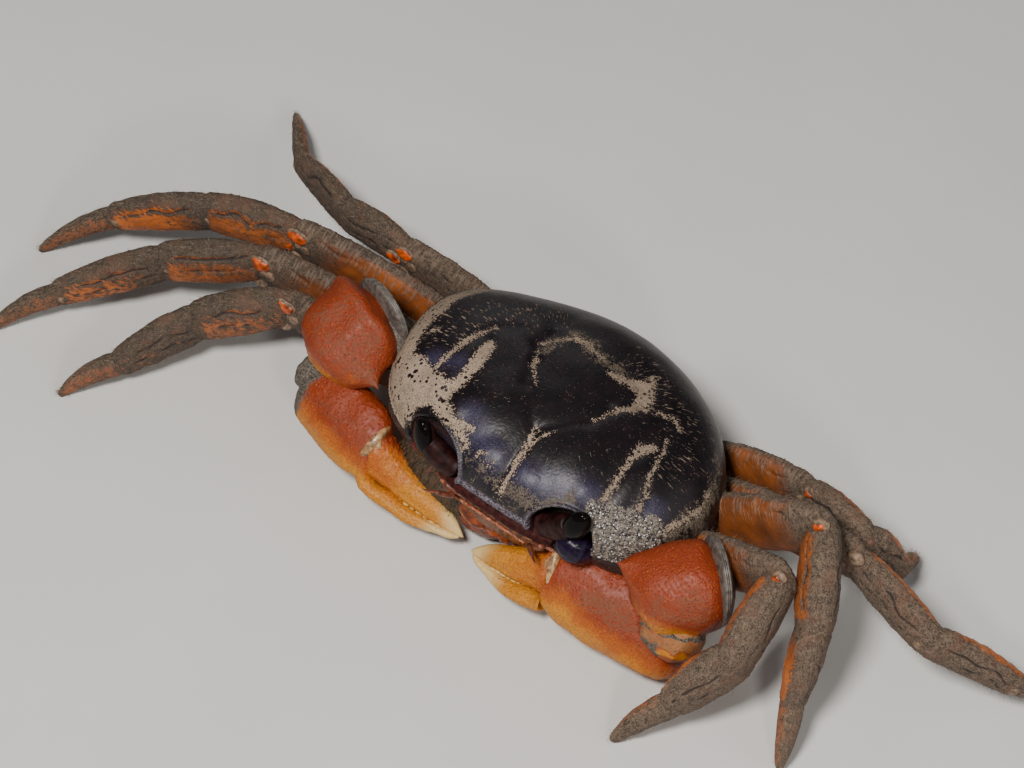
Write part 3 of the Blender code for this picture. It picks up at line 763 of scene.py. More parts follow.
MUD = (  # strokes of dry mud: x, y, half width
    ((-18.6, 11.4, 0.4), (-21.4, 8.0, 0.8), (-23.6, 4.4, 1.2), (-24.6, 0.0, 1.5),
     (-24.6, -4.4, 1.6), (-23.6, -8.0, 1.9), (-22.0, -11.0, 2.2), (-19.5, -13.0, 2.2),
     (-17.6, -14.2, 1.6)),
    ((-20.4, -11.0, 1.8), (-17.6, -12.0, 2.4), (-15.2, -11.6, 1.7), (-13.6, -11.2, 1.2)),
    ((-21.0, -8.2, 1.4), (-18.0, -9.8, 1.6), (-15.4, -10.0, 1.2)),
    ((-17.1, -5.1, 0.15), (-16.4, -2.6, 0.22), (-15.2, 0.0, 0.10)),
    ((-19.4, -9.6, 0.4), (-17.6, -8.3, 0.35), (-17.0, -5.6, 0.45), (-16.5, -3.0, 0.5),
     (-16.0, -0.7, 0.4), (-14.6, 2.0, 0.25)),
    ((-14.4, -10.6, 1.1), (-13.2, -9.2, 0.9), (-12.8, -7.2, 0.8), (-12.9, -4.8, 1.0),
     (-13.2, -2.4, 1.0), (-13.4, -0.6, 0.5)),
    ((-13.4, -12.6, 1.0), (-11.6, -13.2, 0.9), (-9.6, -14.0, 0.7), (-7.9, -14.6, 0.55),
     (-6.6, -15.4, 0.5)),
    ((-9.4, -13.8, 0.7), (-7.2, -13.4, 0.45)),
    ((0.7, -17.3, 0.35), (0.9, -15.9, 0.35), (0.7, -13.5, 0.50), (0.5, -11.0, 0.50),
     (0.1, -8.6, 0.25)),
    ((0.8, -11.4, 0.30), (1.3, -9.4, 0.25), (2.3, -7.6, 0.10)),
    ((-6.4, 0.4, 0.45), (-6.8, 0.9, 0.35)),
    ((-7.3, 2.0, 0.15), (-6.4, -0.4, 0.25), (-4.9, -2.2, 0.12), (-3.9, -3.2, 0.05)),
    ((6.9, 0.1, 0.45), (7.0, 0.6, 0.35)), ((6.5, -0.4, 0.22), (5.9, -1.8, 0.15), (5.5, -3.0, 0.05)),
    ((2.6, 4.9, 0.3), (5.4, 5.4, 0.8), (7.8, 6.2, 1.5), (8.9, 4.6, 1.1), (8.4, 2.2, 0.8),
     (7.4, 1.0, 0.4)),
    ((8.0, 7.0, 0.8), (7.4, 9.2, 0.4)),
    ((9.4, 3.2, 0.5), (11.4, 4.2, 0.35), (13.4, 5.0, 0.30), (15.2, 4.0, 0.15)),
    ((-7.8, 3.4, 0.15), (-6.2, 5.4, 0.40), (-4.6, 7.2, 0.55), (-2.8, 7.4, 0.60),
     (-0.6, 6.8, 0.35), (1.4, 6.2, 0.25)),
    ((14.2, -0.7, 0.5), (13.2, -2.2, 0.9), (13.0, -4.2, 0.45), (13.0, -6.7, 0.35),
     (13.3, -8.8, 0.40), (13.2, -11.2, 0.5)),
    ((14.7, 1.6, 0.10), (15.4, 0.2, 0.25), (15.8, -2.2, 0.30), (16.3, -4.6, 0.35),
     (17.2, -7.0, 0.35), (17.7, -9.4, 0.35)),
    ((23.0, 0.6, 0.1), (23.5, -2.6, 0.25), (22.9, -5.6, 0.35), (21.6, -9.0, 0.4)),
    ((-4.2, -15.6, 0.25), (-3.6, -15.3, 0.15)), ((-2.4, -16.0, 0.25), (-2.0, -15.7, 0.12)),
    ((-21.8, -2.6, 0.3), (-21.3, -2.1, 0.12)),
)
FILM = (  # thin olive film
    ((-7.0, -15.9, 0.2), (-4.0, -16.6, 0.4), (0.0, -17.0, 0.6), (4.0, -17.0, 0.9),
     (7.4, -15.9, 0.8), (9.4, -13.9, 0.8)),
    ((-6.6, 1.4, 0.4), (-6.4, 4.6, 0.9), (-4.4, 7.6, 1.3), (-1.6, 7.2, 1.3), (1.6, 6.4, 1.1),
     (4.6, 6.0, 1.2)),
    ((20.8, 6.0, 0.4), (23.4, 1.0, 0.9), (23.9, -4.0, 1.2), (22.6, -8.4, 1.2)),
    ((13.2, -8.6, 0.6), (13.2, -12.0, 0.9)), ((17.0, -7.4, 0.6), (17.6, -10.4, 0.8)),
)
DASHES = (  # scratches and specks
    ((-22.0, -5.0, 2.0), (-19.0, 0.0, 4.0), (-14.0, 6.0, 3.0), (-9.0, 9.0, 2.5)),
    ((-3.0, 2.0, 3.0), (1.0, -1.0, 2.0)),
    ((6.0, 9.5, 2.5), (10.0, 7.5, 3.0), (13.5, 4.8, 3.4), (17.0, 2.4, 2.6), (18.4, -3.0, 2.0)),
)
WET = (  # wet mud behind the left eye, which glitters with the glints painted in by the finish
    ((12.4, -13.0, 0.9), (15.0, -13.2, 2.2), (18.6, -11.6, 2.4), (20.6, -9.0, 1.3)),
    ((14.0, -16.0, 1.6), (18.0, -14.5, 2.0), (21.6, -11.0, 1.4)),
)
PAINTED_SHEEN_STROKES = (  # painted sheen: bluish highlights on the front fields
    ((2.6, -15.0, 1.8), (6.0, -14.4, 1.8), (9.0, -13.2, 1.6), (11.4, -12.2, 1.6)),
    ((-2.4, -15.0, 1.8), (-6.0, -13.6, 1.8), (-8.6, -12.0, 1.6)),
    ((-14.8, -6.0, 1.0), (-18.6, -7.0, 1.4)), ((18.6, -9.0, 1.2), (19.4, -7.6, 1.0)),
)


def shell_rings(turns, levels):
    """The shell's surface over turn (0 in front) and level (-1 lower edge, 0 widest line, 1 crown).

    The outline is a superellipse; above it the share of the outline left at a level is
    (1 - level^p)^(1/p), and below it the surface tucks in along a quarter ellipse.
    """
    s, c = np.sin(turns), -np.cos(turns)
    forward = c < 0
    power = np.where(forward, OUTLINE_POWER_FRONT, OUTLINE_POWER_BACK)
    reach = (np.abs(s) ** power + np.abs(c) ** power) ** (-1 / power)
    long = np.where(forward, CARAPACE_FRONT, CARAPACE_BACK)
    ends = np.where(forward, EQUATOR_FRONT_Z, EQUATOR_BACK_Z)
    rim = EQUATOR_SIDE_Z + (ends - EQUATOR_SIDE_Z) * np.abs(c) ** 2.5
    x = settings()[0].width / MM / 2 * reach * s
    y = WIDEST_Y + long * reach * c
    level = levels[:, None]
    up = np.clip(level, 0, 1)
    tuck = 2.6 - 1.5 * smooth(0.60, 0.92, -c)
    inner = np.where(forward, UNDERCUT_FRONT, UNDERCUT_BACK)
    inner = UNDERCUT_SIDE + (inner - UNDERCUT_SIDE) * c * c
    below = inner + (1 - inner) * np.clip(1 - np.abs(level) ** tuck, 0, 1) ** (1 / tuck)
    below = below + 0.022 * np.sin(math.pi * np.clip(-level, 0, 1)) * (1 - c * c)
    share = np.where(level >= 0, (1 - up**CROWN_POWER) ** (1 / CROWN_POWER), below)
    height = rim + np.where(level >= 0, (CROWN[2] - rim) * level, (rim - SHELL_FLOOR_Z) * level)
    return np.stack([x * share, CROWN[1] + (y - CROWN[1]) * share, height], -1)


def orbit_frame(points, side):
    """Points in the frame of one eye hollow, where the hollow is the unit ball."""
    turn = side * ORBIT_TURN
    away = points - mirrored(ORBIT_CENTRES[side], side)
    c, s = math.cos(turn), math.sin(turn)
    return np.stack([away[..., 0] * c + away[..., 1] * s, away[..., 1] * c - away[..., 0] * s,
                     away[..., 2]], -1) / ORBIT_AXES[side]


def hollow_out(points, side):
    """Moves what lies inside an eye hollow on to its far wall; also returns how deep it lay.

    From a local point p along the unit way d, the unit ball ends after the positive root t of
    |p + t d| = 1, which is t = -p.d + sqrt((p.d)^2 + 1 - |p|^2).
    """
    way = unit(mirrored(ORBIT_INWARD, side))
    local = orbit_frame(points, side)
    local_way = orbit_frame(mirrored(ORBIT_CENTRES[side], side) + way, side)
    depth = 1 - np.sum(local * local, axis=-1)
    along = local @ unit(local_way)
    run = -along + np.sqrt(np.clip(along**2 + depth, 0, None))
    move = np.where(depth > 0, run / np.linalg.norm(local_way), 0.0)
    return points + way * move[..., None], depth


def shell_relief(plan):
    """Height over the plan: each field adds a bell, and each furrow cuts a bell-shaped line."""
    half = np.stack([np.abs(plan[..., 0]), plan[..., 1]], -1)
    height = np.zeros(plan.shape[:-1])
    for x, y, wide, long, high in FIELDS:
        away = ((half[..., 0] - x) / wide) ** 2 + ((half[..., 1] - y) / long) ** 2
        height += high * np.exp(-away**1.3)
    for depth, width, line in FURROWS:
        gap = -stroke(half, [[(x, y, 0.0) for x, y in line]])
        height -= depth * settings()[0].groove / MM * bell(gap, width * 1.25)
    x, y, radius, depth = PIT
    for side in (1, -1):
        pit = np.hypot(plan[..., 0] - side * x, plan[..., 1] - y)
        height -= depth * bell(pit, radius)
    return height


def shell_fields(grid, level, back, flank, rim, lip, cool, lining):
    """What the shell's finish reads: strokes of mud and film on top, hollows, lip and flanks."""
    plan = grid[..., :2]
    radius = np.linalg.norm(plan - CROWN[:2], axis=-1, keepdims=True)
    on_top = smooth(0.03, 0.07, level)
    mud = smooth(-1.1, 1.1, stroke(plan, MUD)) * on_top
    wet = smooth(-1.0, 1.4, stroke(plan, WET)) * on_top
    film = smooth(-1.4, 1.4, stroke(plan, FILM)) * on_top
    dashes = smooth(-2.0, 2.0, stroke(plan, DASHES)) * on_top
    dashes = dashes - 1.6 * smooth(9.0, 2.0, radius[..., 0])
    # bloom here is the share of painted sheen, a bluish highlight on the front fields
    bloom = smooth(-1.6, 1.6, stroke(plan, PAINTED_SHEEN_STROKES)) * on_top
    # the mud is lighter in front, and darker behind and far out on the left half
    light_mud_share = smooth(4.0, -8.0, grid[..., 1]) * (1 - 0.75 * smooth(9.0, 13.0, grid[..., 0]))
    inner_edge = smooth(13.0, 9.0, np.abs(grid[..., 0])) * smooth(-13.5, -15.0, grid[..., 1])
    lip = np.maximum(lip * inner_edge, smooth(0.20, 0.13, level) * smooth(0.78, 0.90, -back))
    lip = lip * smooth(-0.06, 0.0, level)
    under_front = smooth(0.03, -0.04, level) * smooth(0.80, 0.93, -back)
    # rays run out from the crown: direction times a large radius, and the distance last
    way = (plan - CROWN[:2]) / np.maximum(radius, 0.5)
    rays = np.concatenate([way * 18.0, radius * 0.62 + grid[..., 2:] * 0.4], -1)
    return {"mud": mud, "wet": wet, "film": film, "dashes": dashes, "bloom": bloom,
            "flank": flank, "rim": rim * 0.9, "lip": lip, "cool": cool, "light_mud_share": light_mud_share,
            "lining": np.maximum(lining, under_front), "rays": rays}


def carapace_skin():
    """The shell: rings with more columns in front, relief above, striae and a beaded rim."""
    shell = settings()[0]
    spread = round_turns(SHELL_COLUMNS)
    turns = spread - 0.42 * np.sin(spread)
    down = -np.sin(math.pi / 2 * (1 - np.arange(ROWS_BELOW) / ROWS_BELOW))
    up = np.sin(math.pi / 2 * (np.arange(ROWS_ABOVE) / ROWS_ABOVE))
    levels = np.concatenate([down, up])
    grid = shell_rings(turns, levels)
    level = np.broadcast_to(levels[:, None], grid.shape[:2])
    back = -np.cos(turns)[None]  # -1 in front, 1 behind
    between_eyes = smooth(0.86, 0.97, -back)
    above = smooth(-0.02, 0.12, level)
    relief = shell_relief(grid[..., :2]) * above * smooth(0.0, 0.45, level)
    # beads and striae follow the distance round the widest line
    widest = grid[ROWS_BELOW]
    around = np.cumsum(np.linalg.norm(np.roll(widest, -1, axis=0) - widest, axis=-1))[None]
    beads = 0.75 + 0.25 * np.cos(2 * math.pi * around / BEAD_SPACING)
    rim_line = bell(level - 0.055, 0.028) * smooth(0.62, 0.25, back) * smooth(-0.86, -0.72, back)
    relief += rim_line * shell.bead / MM * beads
    relief += 0.30 * bell(level - 0.10, 0.035) * between_eyes
    relief += 0.02 * ripple(grid, 4.5, 11) + 0.006 * ripple(grid, 0.9, 12)
    stria = np.sin(2 * math.pi * (around + 9 * level) / STRIA_SPACING
                   + 1.3 * ripple(grid, 3.0, 13))
    flank = smooth(0.02, -0.06, level) * smooth(-0.78, -0.60, back)
    relief += 0.05 * stria * flank
    grid = raised(grid, relief)
    corner = np.arctan2(grid[..., 1] + 2.0, -grid[..., 0])
    bulge = BULGE * bell(corner - 0.36, 0.40) * smooth(-0.9, -0.1, level)
    grid = grid + (bulge * smooth(0.97, 0.30, level))[..., None] * BULGE_WAY
    # each eye hollow: a swollen edge, then the ball cut out of the shell
    rim, lip, cool, lining = (np.zeros(level.shape) for _ in range(4))
    for side in (1, -1):
        depth = 1 - np.sum(orbit_frame(grid, side) ** 2, axis=-1)
        grid = raised(grid, 0.32 * bell(depth + 0.16, 0.13) * smooth(0.25, -0.15, depth))
        grid, depth = hollow_out(grid, side)
        low = smooth(-0.25, -0.65, orbit_frame(grid, side)[..., 2])
        cool = np.maximum(cool, low * (depth > 0))
        lining = np.maximum(lining, smooth(-0.03, 0.06, depth))
        rim = np.maximum(rim, bell(depth + 0.08, 0.06) * smooth(-0.03, -0.16, level))
        lip = np.maximum(lip, bell(depth + 0.16, 0.14))
    fields = shell_fields(grid, level, back, flank, rim, lip, cool, lining)
    build("carapace_skin", [(grid, fields)], finish_of("shell", shell_finish),
          ("carapace",))


# Eyes -------------------------------------------------------------------------------------------

CORNEA_CENTRES = {1: (12.3, -16.0, 22.6), -1: (12.9, -16.4, 21.0)}  # the left eye stands higher
CORNEA_AXES = np.array([1.85, 1.40, 3.6])
CORNEA_TILT = {1: math.radians(17), -1: math.radians(11)}  # tops lean outwards
STALK_START = (6.6, -16.2, 18.2)
STALK_STATIONS = (  # share of the way along the stalk, then half width
    (0, 0.3), (0.06, 1.1), (0.3, 1.6), (0.6, 1.8), (0.85, 1.75), (0.95, 1.4), (1, 0.7),
)
STALK_SAG = np.array([0, 0, 0.5])
CLASP = np.array([0, 0.45, -0.35]), (1.75, 1.25, 3.3)  # place behind the cornea, and half axes
EYE_WALL = np.array([0.5, -0.5, -4.3]), (2.7, 2.0, 2.4)  # the same, for the swelling below it


def turned(angle, tilt=0.0):
    """A frame's three directions as rows: leant towards +X by tilt, turned about the upright."""
    c, s = math.cos(angle), math.sin(angle)
    tilt_c, tilt_s = math.cos(tilt), math.sin(tilt)
    lean = np.array([[tilt_c, 0, -tilt_s], [0, 1, 0], [tilt_s, 0, tilt_c]])
    return lean @ np.array([[c, s, 0], [-s, c, 0], [0, 0, 1.0]])


def eye_skins(side, tag):
    """Upright polished cornea, and a stalk with a swollen end that clasps it."""
    centre = mirrored(CORNEA_CENTRES[side], side)
    ways = turned(side * ORBIT_TURN, side * CORNEA_TILT[side])
    cornea = ball(centre, CORNEA_AXES, ways, 56, 64)
    black = tuple(settings()[0].cornea)
    polish = smooth_finish(black, 0.10, 0.1, bump=0.0, gloss=0.07)
    build(f"cornea_{tag}_skin", [(cornea, {})], finish_of("cornea", polish),
          (f"cornea_{tag}",))
    start = mirrored(STALK_START, side)
    along = unit(centre - start)
    stop = centre - along * 0.6
    share = crowded(60)
    thin = unit(np.cross([0, 0, 1.0], along))
    deep = np.cross(along, thin)
    wide = eased(share, STALK_STATIONS)[:, 0]
    share = share[:, None]
    centres = start + (stop - start) * share - STALK_SAG * np.sin(math.pi * share)
    stalk = tube(centres, deep, thin, wide * 1.15, wide * 0.95, 2.0, 48)
    stalk = raised(stalk, 0.05 * ripple(stalk, 1.6, 21 + side))
    clasp = ball(centre - along * 0.5 + CLASP[0], CLASP[1], ways, 32, 48)
    if side > 0:
        swell = ball(centre + EYE_WALL[0], EYE_WALL[1], ways, 40, 60)
        build("eye_wall", [(raised(swell, 0.08 * ripple(swell, 1.8, 25)), {})],
              plain("eye_wall"))
    build(f"eyestalk_{tag}_skin", [(stalk, {}), (clasp, {})], plain("stalk"),
          (f"eyestalk_{tag}",))


class CRAB_OT_shell(bpy.types.Operator):
    """Makes the shell with its eye hollows, furrows, beaded rim and mud"""

    bl_idname = "crab.shell"
    bl_label = "Shell"

    def execute(self, context):
        carapace_skin()
        return {"FINISHED"}


class CRAB_OT_eyes(bpy.types.Operator):
    """Makes both eyes and their stalks"""

    bl_idname = "crab.eyes"
    bl_label = "Eyes"

    def execute(self, context):
        for side, tag in ((1, "L"), (-1, "R")):
            eye_skins(side, tag)
        return {"FINISHED"}


# Claws ------------------------------------------------------------------------------------------

# Joints with x outwards: hip, elbow, wrist, middle of the palm's heel and of its far end, where the
# fingers start, and where they meet. spine is the tip of the carpus's inner spine. merus, carpus
# and palm are half depth and half thickness, lean is the palm's tilt forward in degrees, and reach
# is where it starts as a share of its length. sleeve is the wrist skin's middle and half axes.
# For the carpus: start and fullness of its first rings, its sway outwards, and how wide and how
# sharp the pull of the spine is. folds is the place behind the elbow, outwards, and the size.
# For the colours: dust on the palm, grime at its heel, and where grime on the merus starts, ends
# and how dark it gets.
CLAWS = {
    "L": {"hip": (9.5, -8.0, 6.4), "elbow": (30.1, -9.4, 18.0), "wrist": (23.9, -16.2, 14.4),
          "heel": (28.1, -15.2, 7.2), "knuckle": (10.7, -16.2, 9.2), "tip": (-2.2, -18.0, 5.4),
          "merus": (3.6, 3.2), "carpus": (6.5, 6.2), "palm": (6.1, 4.0), "lean": 35.0,
          "reach": -0.22, "spine": (18.6, -15.9, 20.0),
          "sleeve": ((29.0, -15.3, 12.0), (4.6, 4.0, 4.2)),
          "start": 0.20, "full": 1.0, "outward": 0.0, "pull": (0.62, 1.9),
          "folds": (0.9, 0.0, 0.99), "palm_dust": 0.95, "heel_grime": 0.62,
          "merus_grime": (0.80, 0.97, 0.7)},
    "R": {"hip": (9.5, -8.0, 6.4), "elbow": (30.5, -2.6, 19.2), "wrist": (33.9, -12.2, 15.4),
          "heel": (35.7, -12.0, 9.4), "knuckle": (21.8, -15.9, 9.0), "tip": (4.9, -16.6, 4.6),
          "merus": (3.3, 2.9), "carpus": (5.8, 6.8), "palm": (5.6, 3.6), "lean": 40.0,
          "reach": -0.06, "spine": (24.0, -12.0, 17.4),
          "sleeve": ((35.6, -11.6, 11.0), (2.2, 3.1, 3.2)),
          "start": 0.02, "full": 0.90, "outward": -0.21, "pull": (0.95, 1.6),
          "folds": (0.4, 0.4, 0.87), "palm_dust": 0.65, "heel_grime": 0.9,
          "merus_grime": (0.35, 0.75, 0.85)},
}
PALM_STATIONS = (  # share of the length, then of half depth and half thickness
    (0.06, 0.88, 0.88), (0.30, 1.0, 1.0), (0.60, 1.03, 1.02), (0.86, 0.98, 0.94),
    (1.0, 0.84, 0.84),
)
FIXED_FINGER = (  # share of the length, height of the middle, then half depth and thickness
    (0.14, -0.74, 0.26, 0.60), (0.35, -0.71, 0.23, 0.51), (0.65, -0.60, 0.18, 0.41),
    (0.88, -0.36, 0.12, 0.22), (1.0, -0.18, 0.06, 0.10),
)
MOVING_FINGER = (  # the same
    (-0.05, 0.06, 0.54, 0.68), (0.06, 0.03, 0.58, 0.74), (0.25, -0.03, 0.47, 0.62),
    (0.50, -0.06, 0.38, 0.50), (0.75, -0.05, 0.28, 0.35), (0.90, -0.07, 0.17, 0.20),
    (1.02, -0.10, 0.05, 0.07),
)
CARPUS_STATIONS = (  # share of the length, of half depth and thickness, and sway inwards
    (0.06, 0.97, 0.0), (0.35, 1.01, 0.03), (0.6, 0.99, 0.07), (0.85, 0.88, 0.12),
    (1.0, 0.72, 0.16), (1.10, 0.5, 0.2),
)
# Share of the length, and of half depth and thickness.
MERUS_STATIONS = ((0.18, 0.62), (0.4, 0.9), (0.7, 1.0), (0.9, 0.98), (1.02, 0.85))
TEETH, TOOTH_SIZE, TOOTH_SWELL = 11, 0.34, 0.30


def claw_frames(plan, side):
    """Named joints, and (along, up, across) of the palm and of the fingers."""
    joints = {key: mirrored(plan[key], side)
              for key in ("hip", "elbow", "wrist", "heel", "knuckle", "tip", "spine")}
    lean = math.radians(plan["lean"])
    crest = np.array([0, math.sin(lean), math.cos(lean)])
    frames = []
    for start, end in (("heel", "knuckle"), ("knuckle", "tip")):
        along = unit(joints[end] - joints[start])
        up = unit(crest - along * (crest @ along))
        frames.append((along, up, np.cross(along, up)))
    return joints, frames


def carried(stations, rows, power, columns, ends, keel=0.0):
    """A tube through stations of (centre, up, across, high, wide), eased between, with round ends.

    Returns the grid, the share of the way along it and the distance in millimetres.
    """
    table = np.array([np.concatenate([np.atleast_1d(v) for v in row]) for row in stations])
    steps = np.linalg.norm(np.diff(table[:, :3], axis=0), axis=-1)
    run = np.concatenate([[0], np.cumsum(steps)])
    at = run[-1] * crowded(rows)
    values = eased(at, np.concatenate([run[:, None], table], axis=1))
    share = dome(at, 0, run[-1], *ends)
    up, across = unit(values[:, 3:6]), unit(values[:, 6:9])
    grid = tube(values[:, :3], up, across, values[:, 9] * share, values[:, 10] * share, power,
                columns, keel)
    return grid, at / run[-1], at


def lit_from(grid, way):
    """How squarely the surface faces a way: the dot product of its normal with it, -1 to 1."""
    return normals(grid) @ unit(np.asarray(way, float))


def claw_fields(grid, warm, dust, pale, grime):
    """What the claws' finish reads, each within 0 and 1, and the points themselves."""
    shape = grid.shape[:2]
    fields = {"warm": warm, "dust": dust, "pale": pale, "grime": grime}
    return {**{k: np.clip(np.broadcast_to(v, shape), 0, 1) for k, v in fields.items()},
            "local": grid}


def finger_rows(stations, plan, joints, frame):
    """Stations of a finger from knuckle to tip: the middle is raised by its share of the depth."""
    deep, thick = plan["palm"]
    _, up, across = frame
    knuckle, tip = joints["knuckle"], joints["tip"]
    return [(knuckle + (tip - knuckle) * place + up * middle * deep, up, across, high * deep,
             wide * thick) for place, middle, high, wide in stations]


def claw_palm(tag, side, plan, joints, frames, finish):
    """Palm and fixed finger as one tube, crested above, with a groove along its outer face."""
    deep, thick = plan["palm"]
    (_, up, across), (_, finger_up, _) = frames
    heel, knuckle = joints["heel"], joints["knuckle"]
    rows = ((plan["reach"], 0.74, 0.80), *PALM_STATIONS)
    stations = [(heel + (knuckle - heel) * place, up, across, high * deep, wide * thick)
                for place, high, wide in rows]
    stations += finger_rows(FIXED_FINGER, plan, joints, frames[1])
    grid, share, run = carried(stations, 190, 2.25, 96, (2.6, 1.0), keel=0.18)
    share = share[:, None]
    span = np.linalg.norm(knuckle - heel)
    on_palm = smooth(span * 1.08, span * 0.92, run)[:, None]
    height = (grid - heel) @ up / deep
    height = height * on_palm + ((grid - knuckle) @ finger_up / deep + 0.1) * (1 - on_palm)
    crest = smooth(0.70, 0.98, height) * on_palm
    grain = settings()[1].grain / MM
    relief = 0.10 * ripple(grid, 5.0, 31) + grain * 0.4 * ripple(grid, 0.9, 32)
    relief += crest * 0.08 * (0.4 + ripple(grid, 0.6, 33))
    front = smooth(0.2, 0.7, lit_from(grid, (0, -1, 0.25)))
    relief -= 0.22 * bell(height + 0.42, 0.10) * front * smooth(0.30, 0.60, share)
    grid = on_floor(raised(grid, relief))
    warm = smooth(0.35, -0.75, height) * 0.9 + 0.55 * smooth(0.62, 0.98, share)
    warm = (warm + 0.15 * smooth(0.2, 0.5, share)) * (1 - crest)
    face = smooth(0.15, 0.75, lit_from(grid, (0.0, -0.7, 0.7)))
    dust = face * bell(height - 0.25, 0.50) * bell(share - 0.30, 0.22) * plan["palm_dust"]
    heel_zone = smooth(0.16, 0.04, share)
    if side > 0:
        heel_zone = bell(share - 0.10, 0.06) * smooth(-0.4, 0.2, height)
    fields = claw_fields(grid, warm, dust, 1.15 * smooth(0.72, 0.98, share),
                         heel_zone * plan["heel_grime"])
    name = f"claw_{tag}_palm"
    build(name + "_skin", [(grid, fields)], finish, (name,))


def claw_finger(tag, plan, joints, frames, finish):
    """Moving finger: a tapered tube, beaded above near its root, with a groove on each face."""
    _, up, across = frames[1]
    stations = finger_rows(MOVING_FINGER, plan, joints, frames[1])
    grid, share, _ = carried(stations, 130, 2.1, 72, (1.6, 1.0))
    share = share[:, None]
    lit = lit_from(grid, up)
    relief = settings()[1].grain / MM * ripple(grid, 0.9, 41) * smooth(0.7, 0.2, share)
    relief += 0.07 * ripple(grid, 3.5, 42)
    beads = smooth(0.6, 0.95, lit) * smooth(0.5, 0.05, share)
    relief += 0.10 * beads * (0.5 + ripple(grid, 0.8, 43))
    groove = bell(np.abs(normals(grid) @ across) - 0.93, 0.05)
    relief -= 0.16 * groove * smooth(0.05, 0.25, share) * smooth(0.95, 0.6, share)
    grid = on_floor(raised(grid, relief))
    warm = 0.68 + 0.60 * share - 0.75 * smooth(0.55, 0.95, lit) * smooth(0.35, 0.0, share)
    pale = smooth(0.50, 1.05, share + 0.08 * lit) * 1.1
    fields = claw_fields(grid, warm, 0.15 * bell(share - 0.1, 0.12), pale, 0.0)
    name = f"claw_{tag}_dactyl"
    build(name + "_skin", [(grid, fields)], finish, (name,))


def finger_teeth(tag, plan, joints, frames, finish):
    """Blunt teeth on the biting edges, every other one smaller, largest in the middle."""
    deep = plan["palm"][0]
    along, up, across = frames[1]
    knuckle, tip = joints["knuckle"], joints["tip"]
    at = np.linspace(0.30, 0.93, TEETH)
    parts = []
    for stations, way in ((MOVING_FINGER, -1), (FIXED_FINGER, 1)):
        for k, (place, (middle, high, _)) in enumerate(zip(at, eased(at, stations))):
            swell = math.sin(math.pi * (k + 0.5) / TEETH) * (1.0 if k % 2 else 0.6)
            size = TOOTH_SIZE + TOOTH_SWELL * swell
            root = knuckle + (tip - knuckle) * place + up * (middle + way * high * 0.93) * deep
            ways = np.stack([along, across, up * way])
            tooth = ball(root, (size * 0.9, size * 0.75, size), ways, 7, 10)
            parts.append((on_floor(tooth), claw_fields(tooth, 0.9, 0.0, 0.9, 0.0)))
    build(f"claw_{tag}_teeth", parts, finish)


def claw_carpus(tag, side, plan, joints, finish):
    """Swollen plate before the palm: eased rings, one corner drawn out to a spine.

    A point at an angle a from the spine's direction, seen from the middle, moves towards the tip
    by the share (1 - a / width)^power.
    """
    deep, thick = plan["carpus"]
    elbow, wrist, spine = joints["elbow"], joints["wrist"], joints["spine"]
    along = unit(wrist - elbow)
    across = unit(np.cross([0, 0, 1.0], along))
    up = np.cross(along, across)
    up = up if up[2] > 0 else -up
    inner = across if across[0] * side < 0 else -across
    start, full = plan["start"], plan["full"]
    rows = ((-start - 0.14, 0.60 * full, -0.03), (-start, 0.80 * full, -0.02), *CARPUS_STATIONS)
    stations = [(elbow + (wrist - elbow) * place + inner * (sway + plan["outward"]) * thick, up,
                 across, share * deep, share * thick) for place, share, sway in rows]
    grid, share, _ = carried(stations, 120, 2.3, 110, (3.4, 2.2))
    centre = grid.mean(axis=(0, 1))
    way, reach = unit(spine - centre), np.linalg.norm(spine - centre)
    angle = np.arccos(np.clip(unit(grid - centre) @ way, -1, 1))
    width, power = plan["pull"]
    pull = np.clip(1 - angle / width, 0, 1) ** power
    grid = grid + (centre + way * reach - grid) * pull[..., None]
    grain = settings()[1].grain / MM * 0.45 * ripple(grid, 0.8, 52)
    grid = raised(grid, 0.12 * ripple(grid, 6.0, 51) + grain * (1 - pull))
    lower = (grid - centre) @ unit(np.array([0.25 * side, -0.75, -0.62]))
    edge = smooth(0.55 * thick, 0.95 * thick, lower)
    top = lit_from(grid, (0.1, -0.55, 0.83))
    if side > 0:
        dust = smooth(0.70, 0.97, lit_from(grid, (0.45, -0.80, 0.40))) * (1 - edge) * 0.85
        dust = dust + 0.35 * smooth(0.3, 0.9, pull)
    else:
        dust = 0.20 + 0.50 * smooth(0.60, 0.95, top) + 0.45 * smooth(0.1, 0.6, pull)
        dust = dust * (1 - edge) * smooth(-0.3, 0.4, top)
    inward = smooth(0.80, 0.98, lit_from(grid, (-0.45 * side, -0.85, 0.15)))
    inward = inward * smooth(0.5, 0.8, share)[:, None]
    warm = 0.95 * edge + 0.2 * smooth(0.2, -0.4, top) + 0.45 * inward * smooth(0.8, 0.3, pull)
    grime = smooth(-1.6, -3.4, (grid - elbow) @ along) * 0.8
    name = f"claw_{tag}_carpus"
    build(name + "_skin", [(grid, claw_fields(grid, warm, dust, 0.12 * inward, grime))],
          finish, (name,))


def claw_merus(tag, plan, joints, finish):
    """Flattened arm from under the shell to the elbow, greyer where it meets the carpus."""
    deep, thick = plan["merus"]
    hip, elbow = joints["hip"], joints["elbow"]
    along = unit(elbow - hip)
    thin = unit(np.cross([0, 0, 1.0], along))
    up = np.cross(thin, along)
    up = up if up[2] > 0 else -up
    stations = [(hip + (elbow - hip) * place, up, thin, share * deep, share * thick)
                for place, share in MERUS_STATIONS]
    grid, share, _ = carried(stations, 70, 2.3, 64, (2.0, 2.4), keel=0.3)
    grid = raised(grid, 0.08 * ripple(grid, 3.0, 61) + 0.03 * ripple(grid, 0.7, 62))
    start, end, dark = plan["merus_grime"]
    fields = claw_fields(grid, 0.45, 0.2, 0.0, smooth(start, end, share)[:, None] * dark)
    name = f"claw_{tag}_merus"
    build(name + "_skin", [(grid, fields)], finish, (name,))


